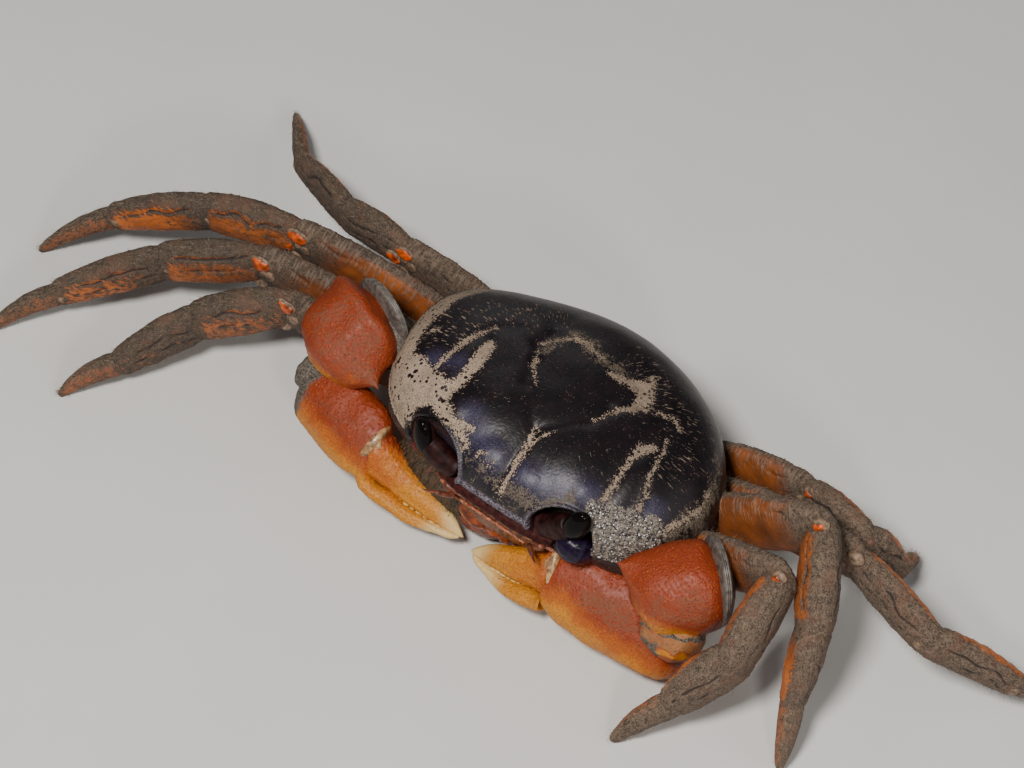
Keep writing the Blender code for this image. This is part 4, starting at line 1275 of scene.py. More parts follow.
def elbow_folds(tag, plan, joints):
    """Soft folds behind the elbow: flat balls in a row, each a little smaller than the last."""
    deep, thick = plan["carpus"]
    behind, outward, first = plan["folds"]
    elbow = joints["elbow"]
    back = unit(elbow - joints["wrist"])
    outward = outward * np.array([1.0 if tag == "L" else -1.0, 0.0, 0.0])
    ways = np.stack([unit(np.cross([0, 0, 1.0], back)), back, [0, 0, 1.0]])
    folds = []
    for k in range(3):
        centre = elbow + back * (behind + 0.30 * k) + outward
        size = first - 0.03 * k
        folds.append((ball(centre, (thick * size, 0.9, deep * size), ways, 40, 64), {}))
    skin = smooth_finish(tuple(settings()[1].skin), 0.42, 0.5, size=0.0008, coat=0.1)
    build(f"claw_{tag}_elbow_folds", folds, finish_of("fold", skin))


def wrist_skin(tag, side, plan, frames, finish):
    """Soft sleeve between carpus and palm; the left one has a dusty plate with a golden edge."""
    along, up, across = frames[0]
    middle, axes = mirrored(plan["sleeve"][0], side), plan["sleeve"][1]
    sleeve = ball(middle, axes, np.stack([along, across, up]), 60, 80, 2.2)
    sleeve = on_floor(raised(sleeve, 0.08 * ripple(sleeve, 2.2, 71)))
    fields = claw_fields(sleeve, 0.3, 0.6, 0.0, 0.85)
    if side > 0:
        low = (sleeve - middle) @ unit(np.array([0.25, -0.60, -0.75]))
        low = low + 0.3 * ripple(sleeve, 2.5, 72)
        plate, gold = smooth(2.3, 1.7, low), bell(low - 2.7, 0.5)
        grime = 0.62 * smooth(1.0, -0.4, (sleeve - middle)[..., 0]) * smooth(0.4, 1.6, low)
        grime = grime + bell(low + 0.3, 0.25) + 0.55 * bell(low - 3.4, 0.35)
        fields = claw_fields(sleeve, 0.55 + 0.6 * gold, 1.6 * plate, 0.42 * plate + 0.30 * gold,
                             grime)
    build(f"claw_{tag}_wrist_skin", [(sleeve, fields)], finish)


def finger_root(tag, plan, joints, frames):
    """Pale block at the root of the moving finger, with a boss on each face."""
    deep, thick = plan["palm"]
    along, up, across = frames[1]
    root = joints["knuckle"] + up * deep * 0.10 - along * 0.3
    ways = np.stack([along, across, up])
    parts = [(ball(root + up * 0.1, (0.95, thick * 0.84, deep * 0.72), ways, 60, 80, 3.0), {})]
    for way in (1, -1):
        place = root + along * 0.5 + across * way * thick * 0.58 + up * deep * 0.16
        parts.append((ball(place, (0.9, 0.45, 1.3), ways, 20, 28), {}))
    build(f"claw_{tag}_finger_root", parts, plain("boss"))


class CRAB_OT_claws(bpy.types.Operator):
    """Makes both claws: arm, swollen carpus with its spine, palm, fingers and teeth"""

    bl_idname = "crab.claws"
    bl_label = "Claws"

    def execute(self, context):
        finish = finish_of("claw", claw_finish)
        for tag, side in (("L", 1), ("R", -1)):
            plan = CLAWS[tag]
            joints, frames = claw_frames(plan, side)
            claw_merus(tag, plan, joints, finish)
            claw_carpus(tag, side, plan, joints, finish)
            claw_palm(tag, side, plan, joints, frames, finish)
            claw_finger(tag, plan, joints, frames, finish)
            finger_teeth(tag, plan, joints, frames, finish)
            elbow_folds(tag, plan, joints)
            wrist_skin(tag, side, plan, frames, finish)
            finger_root(tag, plan, joints, frames)
        return {"FINISHED"}


# Legs -------------------------------------------------------------------------------------------

# Joints with x outwards: root under the shell, knee, end of carpus, end of propodus, tip.
LEGS = {
    "R2": ((19.0, -2.0, 7.4), (45.0, -5.4, 12.5), (55.1, -13.3, 9.0), (61.5, -24.2, 4.6),
           (66.8, -32.0, 0.3)),
    "R3": ((21.5, 3.4, 8.2), (52.5, -1.6, 12.6), (65.3, -9.0, 10.2), (76.3, -20.5, 5.2),
           (82.7, -30.0, 0.3)),
    "R4": ((21.0, 8.8, 8.8), (50.5, 4.2, 14.8), (64.7, 0.6, 13.0), (78.1, -5.6, 7.2),
           (86.5, -14.0, 0.3)),
    "R5": ((16.8, 13.2, 9.4), (36.7, 11.8, 14.4), (48.7, 13.0, 12.8), (63.3, 20.2, 6.4),
           (73.3, 31.2, 0.3)),
    "L2": ((18.5, -2.6, 7.4), (38.7, -6.2, 23.6), (38.9, -16.0, 16.4), (34.3, -21.6, 7.0),
           (29.3, -28.4, 0.3)),
    "L3": ((19.4, 3.0, 8.2), (39.3, 2.6, 26.0), (45.1, -6.6, 19.0), (46.9, -11.8, 8.6),
           (49.9, -18.0, 0.3)),
    "L4": ((20.0, 8.8, 8.8), (43.5, 6.0, 18.4), (57.5, 4.0, 14.0), (69.7, 9.6, 7.0),
           (79.7, 16.0, 0.3)),
    "L5": ((16.8, 13.4, 9.4), (31.9, 13.4, 14.6), (42.3, 10.8, 16.4), (47.3, 14.6, 7.2),
           (47.3, 22.0, 0.3)),
}
LEG_SIZE = {2: 0.98, 3: 1.06, 4: 1.04, 5: 0.92}  # times the sections below, up to the knee
OUTER_SIZE = {2: 1.12, 3: 1.06, 4: 1.04, 5: 0.92}  # the same for the joints past the knee
OUTER_MORE = {"L2": 1.14, "L3": 1.20, "L4": 0.92}  # times that as well, where a leg differs
LEG_SECTIONS = {  # half depth and half thickness at start, middle and end
    "base": ((2.6, 2.7, 2.6), (1.4, 1.9, 1.8)),
    "merus": ((2.8, 4.3, 3.4), (1.7, 2.1, 1.9)),
    "carpus": ((2.8, 3.7, 3.2), (1.8, 2.3, 2.1)),
    "propodus": ((3.1, 3.2, 2.2), (1.9, 2.0, 1.5)),
    "dactyl": ((2.0, 1.5, 0.5), (1.4, 1.15, 0.45)),
}
LEG_GRID = {"base": (30, 32), "merus": (110, 72), "carpus": (90, 72), "propodus": (90, 72),
            "dactyl": (80, 48)}
# The way that each leg's worn orange edge faces, then the same and the share for its merus.
LEG_WORN = {
    "R2": ((0.1, -0.95, -0.35), (0.1, -0.9, 0.2), 0.55),
    "R3": ((0.1, -0.95, -0.35), (0.1, -0.9, 0.2), 0.55),
    "R4": ((0.1, -0.95, -0.35), (0.1, -0.9, 0.2), 0.62),
    "R5": ((0.2, 0.9, 0.2), (0.2, 0.9, 0.2), 0.20),
    "L2": ((-0.85, 0.25, 0.35), (-0.3, -0.8, 0.2), 0.75),
    "L3": ((-0.85, -0.5, 0.0), (-0.2, -0.9, 0.1), 0.85),
    "L4": ((0.2, 0.75, 0.55), (0.0, -0.9, 0.3), 0.80),
    "L5": ((0.3, 0.8, 0.45), (-0.1, -0.9, 0.3), 0.85),
}
LEG_POWER = 2.5  # of the joints' superellipse sections
CRACKS = (0.58, 0.02)  # heights of the two long cracks, as shares of the half depth
RIDGE_SPACING, FELT_RIDGES = 0.62, 0.05  # of the cross ridges on the merus, and their height
# Bright spots at the knee: height as a share of the half depth, place along in millimetres, and
# half length in millimetres.
KNEE_SPOTS = {"L": ((0.50, 1.7, 1.0),), "R": ((0.45, 0.2, 1.5), (-0.35, 1.4, 1.25))}
NO_SPOTS = ("L4",)
BRISTLES, BRISTLE_THICK, CHEEK_BRISTLES, CHEEK_BRISTLE_THICK = 190, 0.028, 420, 0.035
BRISTLE_RINGS = np.array([-0.15, 0.25, 0.6, 0.97])  # shares of a bristle's length
BRISTLE_PATCH = 0.003  # width of a bristle's patch in its UV map

# The trunk is a superellipse seen from above, here its half width, half length, middle and power.
TRUNK_WIDE, TRUNK_LONG, TRUNK_MIDDLE, TRUNK_POWER = 12.6, 13.4, 2.2, 2.6
TRUNK_LOW, TRUNK_HIGH, HIP_HEIGHT = 1.6, 10.5, 6.6


def leg_frame(start, end):
    """Directions along a joint, across its flat faces, and in its plane upwards."""
    along = unit(end - start)
    thin = unit(np.cross([0, 0, 1.0], along))
    deep = np.cross(thin, along)
    return along, thin, deep if deep[2] > 0 else -deep


def leg_cracks(part, u, t, grid, run, seed):
    """Depth of the long dark cracks, which wander along the joint and break off in places."""
    wander = 0.16 * ripple(np.stack([run, run * 0, run * 0], -1), 6.0, seed)[:, None]
    fade = (smooth(0.06, 0.22, t) * smooth(0.98, 0.80, t))[:, None]
    crack = np.zeros(grid.shape[:2])
    if part in ("carpus", "propodus"):
        for middle in CRACKS:
            crack = np.maximum(crack, bell(u[None] - middle - wander, 0.055) * fade)
    if part == "merus":
        crack = 0.7 * bell(u[None] - 0.72 - wander, 0.06) * fade * smooth(0.45, 0.7, t)[:, None]
    return crack * smooth(-1.3, -0.3, ripple(grid, 5.0, seed + 3))


def leg_wear(tag, part, u, t, grid):
    """Share of bare orange shell: on the side that faces the worn way, less at the joint's ends."""
    worn_way, merus_way, worn_merus = LEG_WORN[tag]
    facing = lit_from(grid, merus_way if part in ("base", "merus") else worn_way)
    if part == "merus":
        bare = smooth(1.0 - 1.25 * worn_merus, 1.3 - 0.8 * worn_merus,
                      facing * 0.6 - u[None] * 0.45 + 0.55)
        bare = bare * (1 - 0.7 * smooth(0.62, 0.95, t))[:, None]
    elif part == "dactyl":
        bare = 0.20 + 0.38 * facing
    else:
        reach = smooth(0.0, 0.5, t)[:, None] if part == "propodus" else 0.55
        bare = smooth(0.45, 0.95, facing) * (0.35 + 0.65 * reach)
    ends = np.maximum(smooth(0.10, 0.02, t), smooth(0.93, 0.99, t))[:, None]
    return np.clip(bare * (1 - 0.6 * ends), 0, 1)


def leg_joint(tag, part, start, end, size):
    """A leg's joint: a bowed superellipse tube with round ends, cracks, ridges and fine grain."""
    depths, widths = LEG_SECTIONS[part]
    last = part == "dactyl"
    along, thin, deep = leg_frame(start, end)
    span = np.linalg.norm(end - start)
    rows, columns = LEG_GRID[part]
    radius = depths[0] * size * 0.55
    low, high = (-0.9 * radius, span + (0.2 if last else 0.62) * depths[2] * size)
    run = low + (high - low) * crowded(rows)
    t = np.clip(run / span, 0, 1)
    share = dome(run, low, high, radius * 1.2, depths[2] * size * (1.2 if last else 0.85))
    share = share * (1 - 0.07 * smooth(1.6, 0.2, run)) * (1 + 0.04 * bell(run - high + 1.6, 0.7))
    bow = (0.9 if last else 0.35) * np.sin(math.pi * t)
    centres = start + along * run[:, None] + deep * bow[:, None]
    grid = tube(centres, deep, thin, through(t, depths) * size * share,
                through(t, widths) * size * share, LEG_POWER, columns, keel=0.12)
    u = superellipse(round_turns(columns), LEG_POWER)[0]
    seed = sum(map(ord, tag + part))
    crack = leg_cracks(part, u, t, grid, run, seed)
    rough = 0.0 if last else 1.0
    relief = 0.05 * ripple(grid, 3.4, seed) + rough * 0.030 * ripple(grid, 0.85, seed + 1)
    relief += rough * 0.03 * ripple(grid, 0.45, seed + 2) - 0.30 * crack
    if part == "merus":
        ridges = np.sin(2 * math.pi * run / RIDGE_SPACING)[:, None]
        relief += FELT_RIDGES * smooth(0.45, 0.9, u)[None] * ridges
    grid = on_floor(raised(grid, relief))
    fields = {
        "bare": leg_wear(tag, part, u, t, grid), "crack": crack,
        "deep": np.full(crack.shape, float(part in ("base", "merus"))),
        # darkens the felt on the legs of the right side: painted shade
        "right_painted_shade": smooth(-15.0, -55.0, grid[..., 0]),
        "striae": np.broadcast_to(smooth(0.15, 0.75, u)[None], crack.shape) * (part == "merus"),
        "local": np.stack([(grid - start) @ way for way in (along, thin, deep)], -1),
    }
    name = f"leg_{tag}_{part}"
    build(name + "_skin", [(grid, fields)], finish_of("leg", leg_finish), (name,))
    return grid, along


def cones(roots, ways, lengths, thick, places, seed):
    """Thin bent cones: rings of 5 round root + way * length * s, bending down by s^2, and the map.

    In the map every cone is a disc round the place of its root.
    """
    draw = np.random.default_rng(seed)
    count = len(roots)
    ways = unit(ways + 0.35 * draw.normal(size=(count, 3)))
    side = unit(np.cross(ways, unit(draw.normal(size=(count, 3)))))
    other = np.cross(ways, side)
    s = BRISTLE_RINGS
    lengths = lengths[:, None, None]
    middle = roots[:, None] + ways[:, None] * lengths * s[:, None]
    middle = middle + np.array([0, 0, -0.25]) * lengths * (s * np.abs(s))[:, None]
    c, w = np.cos(round_turns(5)), np.sin(round_turns(5))
    ring = side[:, None, None] * c[:, None] + other[:, None, None] * w[:, None]
    grids = middle[:, :, None] + ring * (thick * (1.05 - s))[:, None, None]
    spread = BRISTLE_PATCH / 2 * (1.0 - np.clip(s, 0, 1))[:, None, None]
    flat = places[:, None, None] + (spread * np.stack([c, w], -1)[None])[None]
    poles = np.repeat(places[:, None], 2, axis=1)
    flat = np.concatenate([flat.reshape(count, -1, 2), poles], axis=1)
    return [(on_floor(grid), {}) for grid in grids], flat.reshape(-1, 2)


def leg_bristles(tag, skins):
    """Fringes along the upper and lower edges of each joint, unwrapped joint by joint."""
    draw = np.random.default_rng(sum(map(ord, tag)))
    roots, ways, places = [], [], []
    for k, (grid, along) in enumerate(skins):
        rows, columns = grid.shape[:2]
        row = draw.integers(int(rows * 0.2), int(rows * 0.9), BRISTLES)
        edge = np.where(draw.random(BRISTLES) < 0.62, columns // 2, 0)
        off = np.rint(draw.normal(0, columns * 0.05, BRISTLES)).astype(int)
        column = (edge + off) % columns
        roots.append(grid[row, column])
        ways.append(normals(grid)[row, column] * 0.8 + along * 0.8)
        places.append(np.stack([(k + 0.05 + 0.9 * row / rows) / len(skins),
                                0.05 + 0.9 * column / columns], -1))
    roots, ways, places = (np.concatenate(v) for v in (roots, ways, places))
    lengths = settings()[2].bristle / MM * draw.uniform(0.5, 1.1, len(roots))
    parts, flat = cones(roots, ways, lengths, BRISTLE_THICK, places, len(roots))
    build(f"leg_{tag}_bristles", parts, plain("bristle"), uv=flat)


def trunk_hip(root):
    """Where a leg's base leaves the trunk: the trunk's superellipse in the root's direction."""
    way = np.array([root[0] / TRUNK_WIDE, (root[1] - TRUNK_MIDDLE) / TRUNK_LONG])
    reach = (np.abs(way) ** TRUNK_POWER).sum() ** (-1 / TRUNK_POWER)
    return np.array([TRUNK_WIDE * way[0] * reach, TRUNK_MIDDLE + TRUNK_LONG * way[1] * reach,
                     HIP_HEIGHT])


def knee_spots(tag, joint, ways, radius, depth, size):
    """Bright spots at the knee, and for each a pale collar and a knob beside it."""
    along, thin, deep = ways
    front = thin if thin[1] < 0 else -thin
    left = tag[0] == "L"
    out, spot_wide, collar_wide = (0.78, 0.9, 0.8) if left else (0.92, 0.5, 0.45)
    spots, knobs = [], []
    for high, far, long in KNEE_SPOTS[tag[0]]:
        place = joint + front * radius * out + deep * depth * high * size + along * far
        spot = ball(place, (long * size, spot_wide * size, long * 0.76 * size), ways, 24, 32)
        spots.append((raised(spot, 0.08 * ripple(spot, 1.3, 24)), {}))
        axes = (long * size + 0.35, collar_wide * size, long * 0.76 * size + 0.35)
        collar = ball(place - front * 0.2, axes, ways, 24, 32)
        knobs.append((raised(collar, 0.03 * ripple(collar, 1.1, 26)), {}))
        beside = place - along * 1.9 - deep * 1.6 - front * 0.5
        knobs.append((ball(beside, (1.2, 0.9, 1.4), ways, 20, 24), {}))
    return ([] if tag in NO_SPOTS else spots), knobs


def leg_hinges(tag, points, size):
    """Pivot bosses at each joint, soft skin between, and the bright spots at the knee."""
    skins, bosses, spots = [], [], []
    for k, part in enumerate(("merus", "carpus", "propodus")):
        depths, widths = LEG_SECTIONS[part]
        joint = points[k + 1]
        ways = np.stack(leg_frame(points[k], joint))
        along, thin, _ = ways
        radius = widths[2] * size
        axes = (radius * 1.05, radius * 0.82, depths[2] * size * 0.70)
        skins.append((ball(joint, axes, ways, 20, 28), {}))
        for way in (1, -1):
            place = joint + thin * way * radius * 0.78 - along * 0.2 * radius
            axes = (0.80 * size, 0.50 * size, 0.95 * size)
            bosses.append((ball(place, axes, ways, 14, 20), {}))
        if part == "merus":
            spots, knobs = knee_spots(tag, joint, ways, radius, depths[2], size)
            bosses += knobs
    build(f"leg_{tag}_hinge_skin", skins, plain("hinge"))
    build(f"leg_{tag}_bosses", bosses, plain("pivot"))
    if spots:
        build(f"leg_{tag}_knee_spots", spots, plain("spot"))


class CRAB_OT_legs(bpy.types.Operator):
    """Makes the eight walking legs with their hinges and bristles"""

    bl_idname = "crab.legs"
    bl_label = "Legs"

    def execute(self, context):
        for tag, plan in LEGS.items():
            side, pair = (1 if tag[0] == "L" else -1), int(tag[1])
            points = [mirrored(point, side) for point in plan]
            chain = [trunk_hip(points[0]), *points]
            inner, outer = LEG_SIZE[pair], OUTER_SIZE[pair] * OUTER_MORE.get(tag, 1.0)
            skins = [leg_joint(tag, part, start, end, inner if part in ("base", "merus") else outer)
                     for part, start, end in zip(LEG_SECTIONS, chain, chain[1:])]
            leg_bristles(tag, skins[1:])
            leg_hinges(tag, points, inner)
        return {"FINISHED"}


# Under the body ---------------------------------------------------------------------------------

BREAST_STATIONS = ((0, 0.60), (0.06, 0.74), (0.3, 0.93), (0.65, 1.0), (1, 0.98))
BREAST_GROOVES = (-6.5, -2.2, 2.4, 7.2, 11.6)  # y of each groove at the middle
FLAP_FRONT, FLAP_BACK = -3.9, 11.9
FLAP_STATIONS = (  # y, then half width
    (-3.9, 0.5), (-3.0, 1.5), (0, 2.6), (5, 4.0), (9.5, 5.4), (11.5, 4.6), (11.9, 3.0),
)
FLAP_JOINTS = (-1.2, 1.6, 4.2, 6.6, 9.0)
FLAP_HEIGHT, FLAP_MIDDLE_Z = 0.65, 0.66


def breast():
    """Trunk: superellipse rings over height, cut by grooves between the breast plates."""
    rows, columns = 70, 220
    at = crowded(rows)
    z = TRUNK_LOW + (TRUNK_HIGH - TRUNK_LOW) * at
    share = eased(at, BREAST_STATIONS)[:, 0]
    u, v = superellipse(round_turns(columns), TRUNK_POWER)
    grid = np.stack([TRUNK_WIDE * np.outer(share, u),
                     TRUNK_MIDDLE + TRUNK_LONG * np.outer(share, v),
                     np.broadcast_to(z[:, None], (rows, columns))], -1)
    groove = np.zeros(grid.shape[:2])
    for y in BREAST_GROOVES:
        groove = np.maximum(groove, bell(grid[..., 1] - y + 0.12 * np.abs(grid[..., 0]), 0.5))
    groove = groove * smooth(2.0, 5.0, np.abs(grid[..., 0]))
    grid = raised(grid, -0.4 * groove + 0.08 * ripple(grid, 3.0, 81))
    return grid, {"groove": groove}


def flap():
    """Tail flap: a flat plate with its half width eased, cut across between its segments."""
    y = FLAP_FRONT + (FLAP_BACK - FLAP_FRONT) * crowded(120)
    joints = np.zeros(y.shape)
    for place in FLAP_JOINTS:
        joints = np.maximum(joints, bell(y - place, 0.16))
    half = eased(y, FLAP_STATIONS)[:, 0] * (1 - 0.04 * joints)
    high = FLAP_HEIGHT * dome(y, FLAP_FRONT, FLAP_BACK, 1.0, 1.0) * (1 - 0.30 * joints)
    centres = np.stack([y * 0, y, y * 0 + FLAP_MIDDLE_Z], -1)
    grid = tube(centres, np.array([0, 0, 1.0]), np.array([1.0, 0, 0]), high, half, 3.2)
    return on_floor(grid), {"groove": np.broadcast_to(joints[:, None], grid.shape[:2])}


def leg_roots():
    """Short hip rings where each limb leaves the breast plates."""
    parts = []
    for tag, plan in LEGS.items():
        root = mirrored(plan[0], 1 if tag[0] == "L" else -1)
        hip = trunk_hip(root)
        ways = np.stack(leg_frame(hip, root))
        ring = ball(hip + ways[0] * 0.6, (2.0, 2.5, 2.7), ways, 24, 32, 2.3)
        parts.append((ring, {"groove": 0.2 * np.ones(ring.shape[:2])}))
    return parts


class CRAB_OT_underside(bpy.types.Operator):
    """Makes the breast plates, the folded tail flap and the hips"""

    bl_idname = "crab.underside"
    bl_label = "Underside"

    def execute(self, context):
        finish = finish_of("belly", belly_finish)
        build("breast_plates", [breast()], finish, ("thorax",))
        build("tail_flap", [flap()], finish, ("pleon",))
        build("hips", leg_roots(), finish)
        return {"FINISHED"}


# Mouth ------------------------------------------------------------------------------------------

# Outer jaw: middle with x outwards and half axes of its broad lower and its squarer upper plate.
JAW_PLATES = (((4.2, -13.4, 5.8), (4.2, 1.8, 4.2)), ((3.2, -13.3, 10.4), (2.4, 1.35, 2.2)))
JAW_TURN = -0.10
TONGUES = (  # middle, direction, half length and half width
    ((4.7, -15.0, 8.2), (-0.77, 0.0, -0.63), 2.9, 1.55),
    ((0.9, -15.0, 7.4), (-0.85, 0.0, -0.53), 1.25, 0.85),
)
TONGUE_FACE, TONGUE_THICK, TONGUE_RIM = np.array([0, -0.8, 0.6]), 0.75, 0.19
FEELER_TUBES = (  # points with x outwards, half widths, and lengths of the rounded ends
    (((6.6, -16.4, 13.9), (7.6, -17.0, 14.4), (8.4, -17.3, 14.9)), (0.75, 0.80, 0.5), (0.4, 0.3)),
    (((6.3, -17.6, 14.2), (7.4, -18.8, 15.0), (8.2, -19.6, 15.7)), (0.42, 0.40, 0.28), (0.4, 0.3)),
    (((8.1, -19.4, 15.6), (8.8, -20.2, 16.1), (9.6, -20.8, 16.6)), (0.22, 0.16, 0.08),
     (0.15, 0.15)),
)
MOUTH_RIDGES = (  # half width, then points
    (0.30, ((-10.0, -15.9, 12.7), (-5.0, -16.5, 13.5), (0.5, -16.7, 14.0), (5.0, -16.6, 14.0),
            (9.6, -16.0, 13.6))),
    (0.22, ((-8.2, -15.9, 10.9), (-3.0, -16.2, 11.4), (1.8, -16.1, 11.1), (4.6, -15.9, 10.6))),
)
BROW_HALF_WIDTH, BROW = 0.95, (
    (-9.6, -16.4, 16.6), (-4.8, -17.45, 16.9), (0, -17.65, 17.0), (4.8, -17.45, 16.9),
    (9.6, -16.4, 16.6),
)
MOUTH_WALL = (0, -13.2, 10.6), (9.6, 2.9, 4.6)  # middle and half axes
CHEEK = (11.3, -9.3, 8.4), (8.4, 6.7, 7.8)  # the same, with x outwards
CHEEK_TURN, FLUTE_SPACING = 0.12, 0.42


def path_tube(points, sizes, rows=40, columns=24, ends=(0.4, 0.3)):
    """A round tube through points with eased half widths."""
    points = np.asarray(points, float)
    stations = []
    for k, point in enumerate(points):
        way = unit(points[min(k + 1, len(points) - 1)] - points[max(k - 1, 0)])
        thin = unit(np.cross([0.0, 0.31, 0.95], way))
        stations.append((point, np.cross(way, thin), thin, sizes[k], sizes[k]))
    return carried(stations, rows, 2.0, columns, ends)[0]


def jaw_plates(side):
    """The broad lower and the squarer upper plate of an outer jaw, each with one upright line."""
    parts = []
    for centre, axes in JAW_PLATES:
        plate = ball(mirrored(centre, side), axes, turned(side * JAW_TURN), 60, 80, 2.6)
        line = bell(plate[..., 0] - side * (centre[0] - 0.8), 0.25)
        parts.append((raised(plate, -0.18 * line + 0.04 * ripple(plate, 1.2, 91)), {}))
    return parts


def tongues(side):
    """Tongue-shaped plates that lie across the jaws, and open oval loops for their rims."""
    plates, rims = [], []
    for centre, way, long, wide in TONGUES:
        along = unit(mirrored(way, side))
        face = unit(TONGUE_FACE - along * (TONGUE_FACE @ along))
        across = np.cross(along, face)
        middle = mirrored(centre, side)
        axes = (long, TONGUE_THICK, wide)
        plate = ball(middle, axes, np.stack([along, face, across]), 40, 60, 2.3)
        plates.append((raised(plate, 0.04 * ripple(plate, 0.9, 92)), {}))
        angle = np.linspace(-2.5, 2.5, 60)[:, None]
        loop = middle + along * long * 0.93 * np.cos(angle)
        loop = loop + across * wide * 0.93 * np.sin(angle) + face * 0.12
        rim = path_tube(loop, [TONGUE_RIM] * len(loop), rows=120, columns=14, ends=(0.2, 0.2))
        rims.append((rim, {}))
    return plates, rims


def feelers(side):
    """Short feeler from the inner corner of the eye hollow: root, middle joint and thin whip."""
    return [(path_tube([mirrored(point, side) for point in points], sizes, ends=ends), {})
            for points, sizes, ends in FEELER_TUBES]


def mouth_frame():
    """Two thin ridges from one eye hollow to the other, the fluted wall behind, and the brow."""
    ridges = []
    for size, line in MOUTH_RIDGES:
        ridge = path_tube(line, [size] * len(line), rows=200, columns=20)
        ridges.append((raised(ridge, 0.05 * ripple(ridge, 0.7, 93)), {}))
    brow = path_tube(BROW, [BROW_HALF_WIDTH] * len(BROW), rows=160, columns=32)
    wall = ball(*MOUTH_WALL, rows=120, columns=400, power=2.5)
    flutes = np.sin(2 * math.pi * wall[..., 0] / FLUTE_SPACING + 1.2 * ripple(wall, 2.0, 94))
    wall = raised(wall, 0.05 * flutes + 0.06 * ripple(wall, 1.6, 95))
    return ridges, [(wall, {})], [(raised(brow, 0.06 * ripple(brow, 1.2, 98)), {})]


def cheek(side):
    """Wall below each eye hollow, between the shell's lower edge and the arm, finely fluted."""
    centre, axes = CHEEK
    wall = ball(mirrored(centre, side), axes, turned(side * CHEEK_TURN), 140, 260, 2.8)
    flutes = ripple(wall * np.array([1.0, 1.0, 0.12]), 0.55, 96)
    return raised(wall, 0.05 * flutes + 0.05 * ripple(wall, 2.4, 97))


def cheek_bristles(tag, skin):
    """A fringe of thin hairs that hang from the upper part of a cheek."""
    draw = np.random.default_rng(8)
    out = normals(skin)
    front = np.argwhere((out[..., 1] < -0.35) & (skin[..., 2] > 6.0) & (skin[..., 2] < 14.5))
    picked = front[draw.integers(0, len(front), CHEEK_BRISTLES)]
    row, column = picked.T
    places = 0.05 + 0.9 * picked / np.array(skin.shape[:2])
    ways = out[row, column] * 0.6 + np.array([0, -0.3, -0.7])
    lengths = draw.uniform(0.8, 1.5, CHEEK_BRISTLES)
    parts, flat = cones(skin[row, column], ways, lengths, CHEEK_BRISTLE_THICK, places, 9)
    build(f"cheek_{tag}_bristles", parts, plain("cheek_bristle"), uv=flat)


class CRAB_OT_mouth(bpy.types.Operator):
    """Makes the jaws, the feelers, the cheeks, and the brow, ridges and wall round the mouth"""

    bl_idname = "crab.mouth"
    bl_label = "Mouth"

    def execute(self, context):
        red = smooth_finish(tuple(settings()[0].mouth), 0.40, 0.6, size=0.0011, bump=0.00006,
                            gloss=0.35)
        finish = finish_of("mouth", red)
        pale, brown = plain("rims"), plain("feelers")
        ridges, wall, brow = mouth_frame()
        for side, tag in ((1, "L"), (-1, "R")):
            plates, rims = tongues(side)
            jaw, skin = jaw_plates(side) + plates, cheek(side)
            build(f"jaw_{tag}", jaw, finish, (f"maxilliped_{tag}",))
            build(f"jaw_rims_{tag}", rims, pale)
            build(f"feelers_{tag}", feelers(side), brown, (f"antenna_{tag}",))
            build(f"cheek_{tag}", [(skin, {"local": skin})],
                  finish_of("cheek", cheek_finish))
            cheek_bristles(tag, skin)
        build("brow", brow, plain("brow"))
        build("mouth_ridges", ridges, pale)
        build("mouth_wall", wall, plain("tissue"))
        return {"FINISHED"}


# Stage ------------------------------------------------------------------------------------------

TARGET = np.array([-0.0109, 0.002, 0.015])  # where the camera and the lights look, in metres
FLOOR_REACH = 1.5
LENS, SENSOR, CLIP_START, CLIP_END = 100.0, 36.0, 0.01, 10.0
WORLD_COLOUR, WORLD_STRENGTH = (1.0, 0.96, 0.93, 1.0), 0.07
LIGHTS = {  # place, width, power and colour
    "key": ((0.0, -0.24, 0.46), 0.10, 3.0, (1.0, 0.97, 0.93)),
    "fill": ((0.50, 0.10, 0.40), 0.5, 0.7, (1.0, 0.97, 0.95)),
    "back": ((-0.35, 0.45, 0.35), 0.4, 0.35, (1.0, 1.0, 1.0)),
    "glint": ((0.27, -0.25, 0.24), 0.07, 0.5, (1.0, 0.97, 0.93)),
}


def aim(thing, back, roll):
    """Turns a camera or lamp so that its own +Z points along back, rolled about it."""
    right = unit(np.cross([0.0, 0.0, 1.0], back))
    up = np.cross(back, right)
    c, s = math.cos(roll), math.sin(roll)
    right, up = right * c + up * s, up * c - right * s
    thing.rotation_euler = Matrix(np.stack([right, up, back], axis=1).tolist()).to_euler()


def light(name):
    """A soft round lamp that faces the crab."""
    place, size, power, tint = LIGHTS[name]
    lamp = bpy.data.lights.new(name, "AREA")
    lamp.shape = "DISK"
    lamp.size, lamp.energy, lamp.color = size, power, tint
    made = bpy.data.objects.new(name, lamp)
    bpy.context.scene.collection.objects.link(made)
    made.location = place
    aim(made, unit(np.asarray(place) - TARGET), 0.0)


def floor(pale):
    """A flat square round the origin, under the crab's feet."""
    mesh = bpy.data.meshes.new("floor")
    signs = ((-1, -1), (1, -1), (1, 1), (-1, 1))
    corners = [(x * FLOOR_REACH, y * FLOOR_REACH, 0) for x, y in signs]
    mesh.from_pydata(corners, [], [(0, 1, 2, 3)])
    made = bpy.data.objects.new("floor", mesh)
    bpy.context.scene.collection.objects.link(made)
    mesh.materials.append(finish_of("floor", smooth_finish(pale, 0.8, 0.02, size=0.05, bump=0.0)))


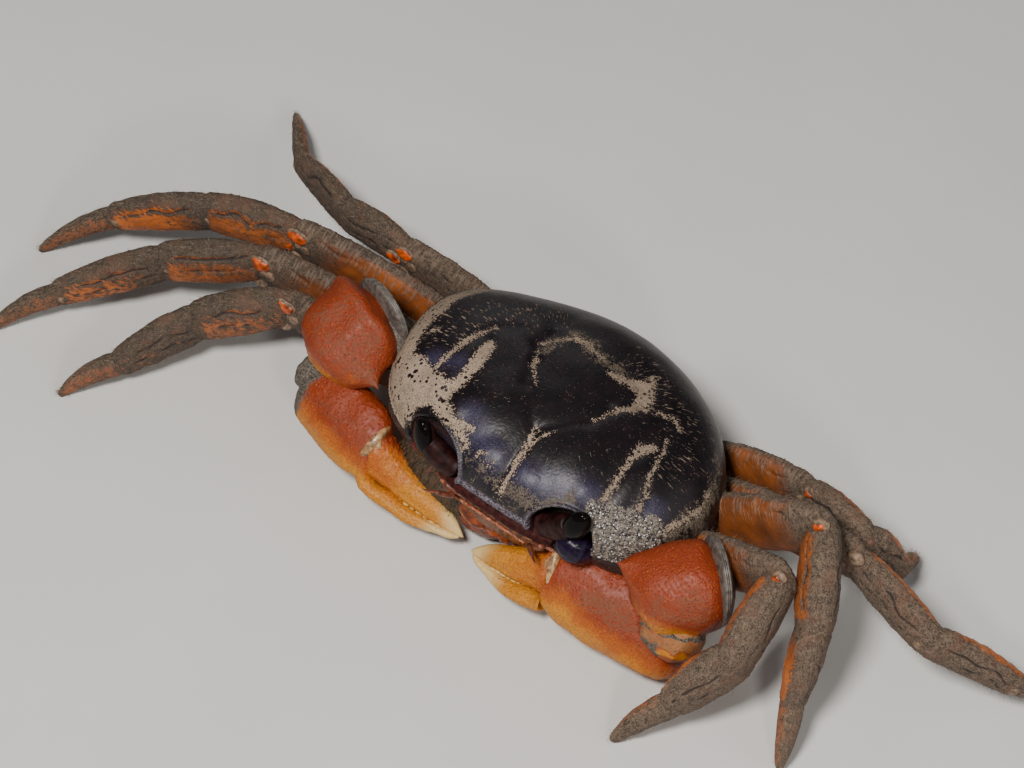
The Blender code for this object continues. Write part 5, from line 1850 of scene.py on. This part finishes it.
def camera(azimuth, elevation, distance, roll):
    """The scene's camera, on a sphere round the target."""
    lens = bpy.data.cameras.new("camera")
    lens.lens, lens.sensor_width = LENS, SENSOR
    lens.clip_start, lens.clip_end = CLIP_START, CLIP_END
    made = bpy.data.objects.new("camera", lens)
    bpy.context.scene.collection.objects.link(made)
    back = np.array([math.sin(azimuth) * math.cos(elevation),
                     -math.cos(azimuth) * math.cos(elevation), math.sin(elevation)])
    made.location = TARGET + back * distance
    aim(made, back, roll)
    bpy.context.scene.camera = made


class CRAB_OT_stage(bpy.types.Operator):
    """Makes the floor, the soft lights and the camera"""

    bl_idname = "crab.stage"
    bl_label = "Stage"

    def execute(self, context):
        stage = settings()[3]
        floor(tuple(stage.floor))
        camera(stage.azimuth, stage.elevation, stage.distance, stage.roll)
        for name in LIGHTS:
            light(name)
        world = context.scene.world or bpy.data.worlds.new("world")
        context.scene.world = world
        world.use_nodes = True
        background = world.node_tree.nodes["Background"].inputs
        background["Color"].default_value = WORLD_COLOUR
        background["Strength"].default_value = WORLD_STRENGTH
        return {"FINISHED"}


# Panel and registration -------------------------------------------------------------------------

STEPS = ("shell", "eyes", "mouth", "claws", "legs", "underside", "stage")


class CRAB_PT_panel(bpy.types.Panel):
    """Lists the steps that make the crab, in order"""

    bl_idname = "CRAB_PT_panel"
    bl_label = "Land crab"
    bl_space_type = "VIEW_3D"
    bl_region_type = "UI"
    bl_category = "Crab"

    def draw(self, context):
        for step in STEPS:
            self.layout.operator(f"crab.{step}")


GROUPS = {
    "crab_shell": CrabShellSettings, "crab_claws": CrabClawSettings,
    "crab_legs": CrabLegSettings, "crab_stage": CrabStageSettings,
}
CLASSES = (
    *GROUPS.values(), CRAB_OT_shell, CRAB_OT_eyes, CRAB_OT_mouth, CRAB_OT_claws, CRAB_OT_legs,
    CRAB_OT_underside, CRAB_OT_stage, CRAB_PT_panel,
)


def register():
    """Adds the classes and, on each scene, the settings."""
    for made in CLASSES:
        bpy.utils.register_class(made)
    for name, group in GROUPS.items():
        setattr(bpy.types.Scene, name, bpy.props.PointerProperty(type=group))


def unregister():
    """Takes them away again."""
    for name in GROUPS:
        delattr(bpy.types.Scene, name)
    for made in reversed(CLASSES):
        bpy.utils.unregister_class(made)


def main():
    """Makes every step in order."""
    register()
    for step in STEPS:
        getattr(bpy.ops.crab, step)()


if __name__ == "__main__":
    main()
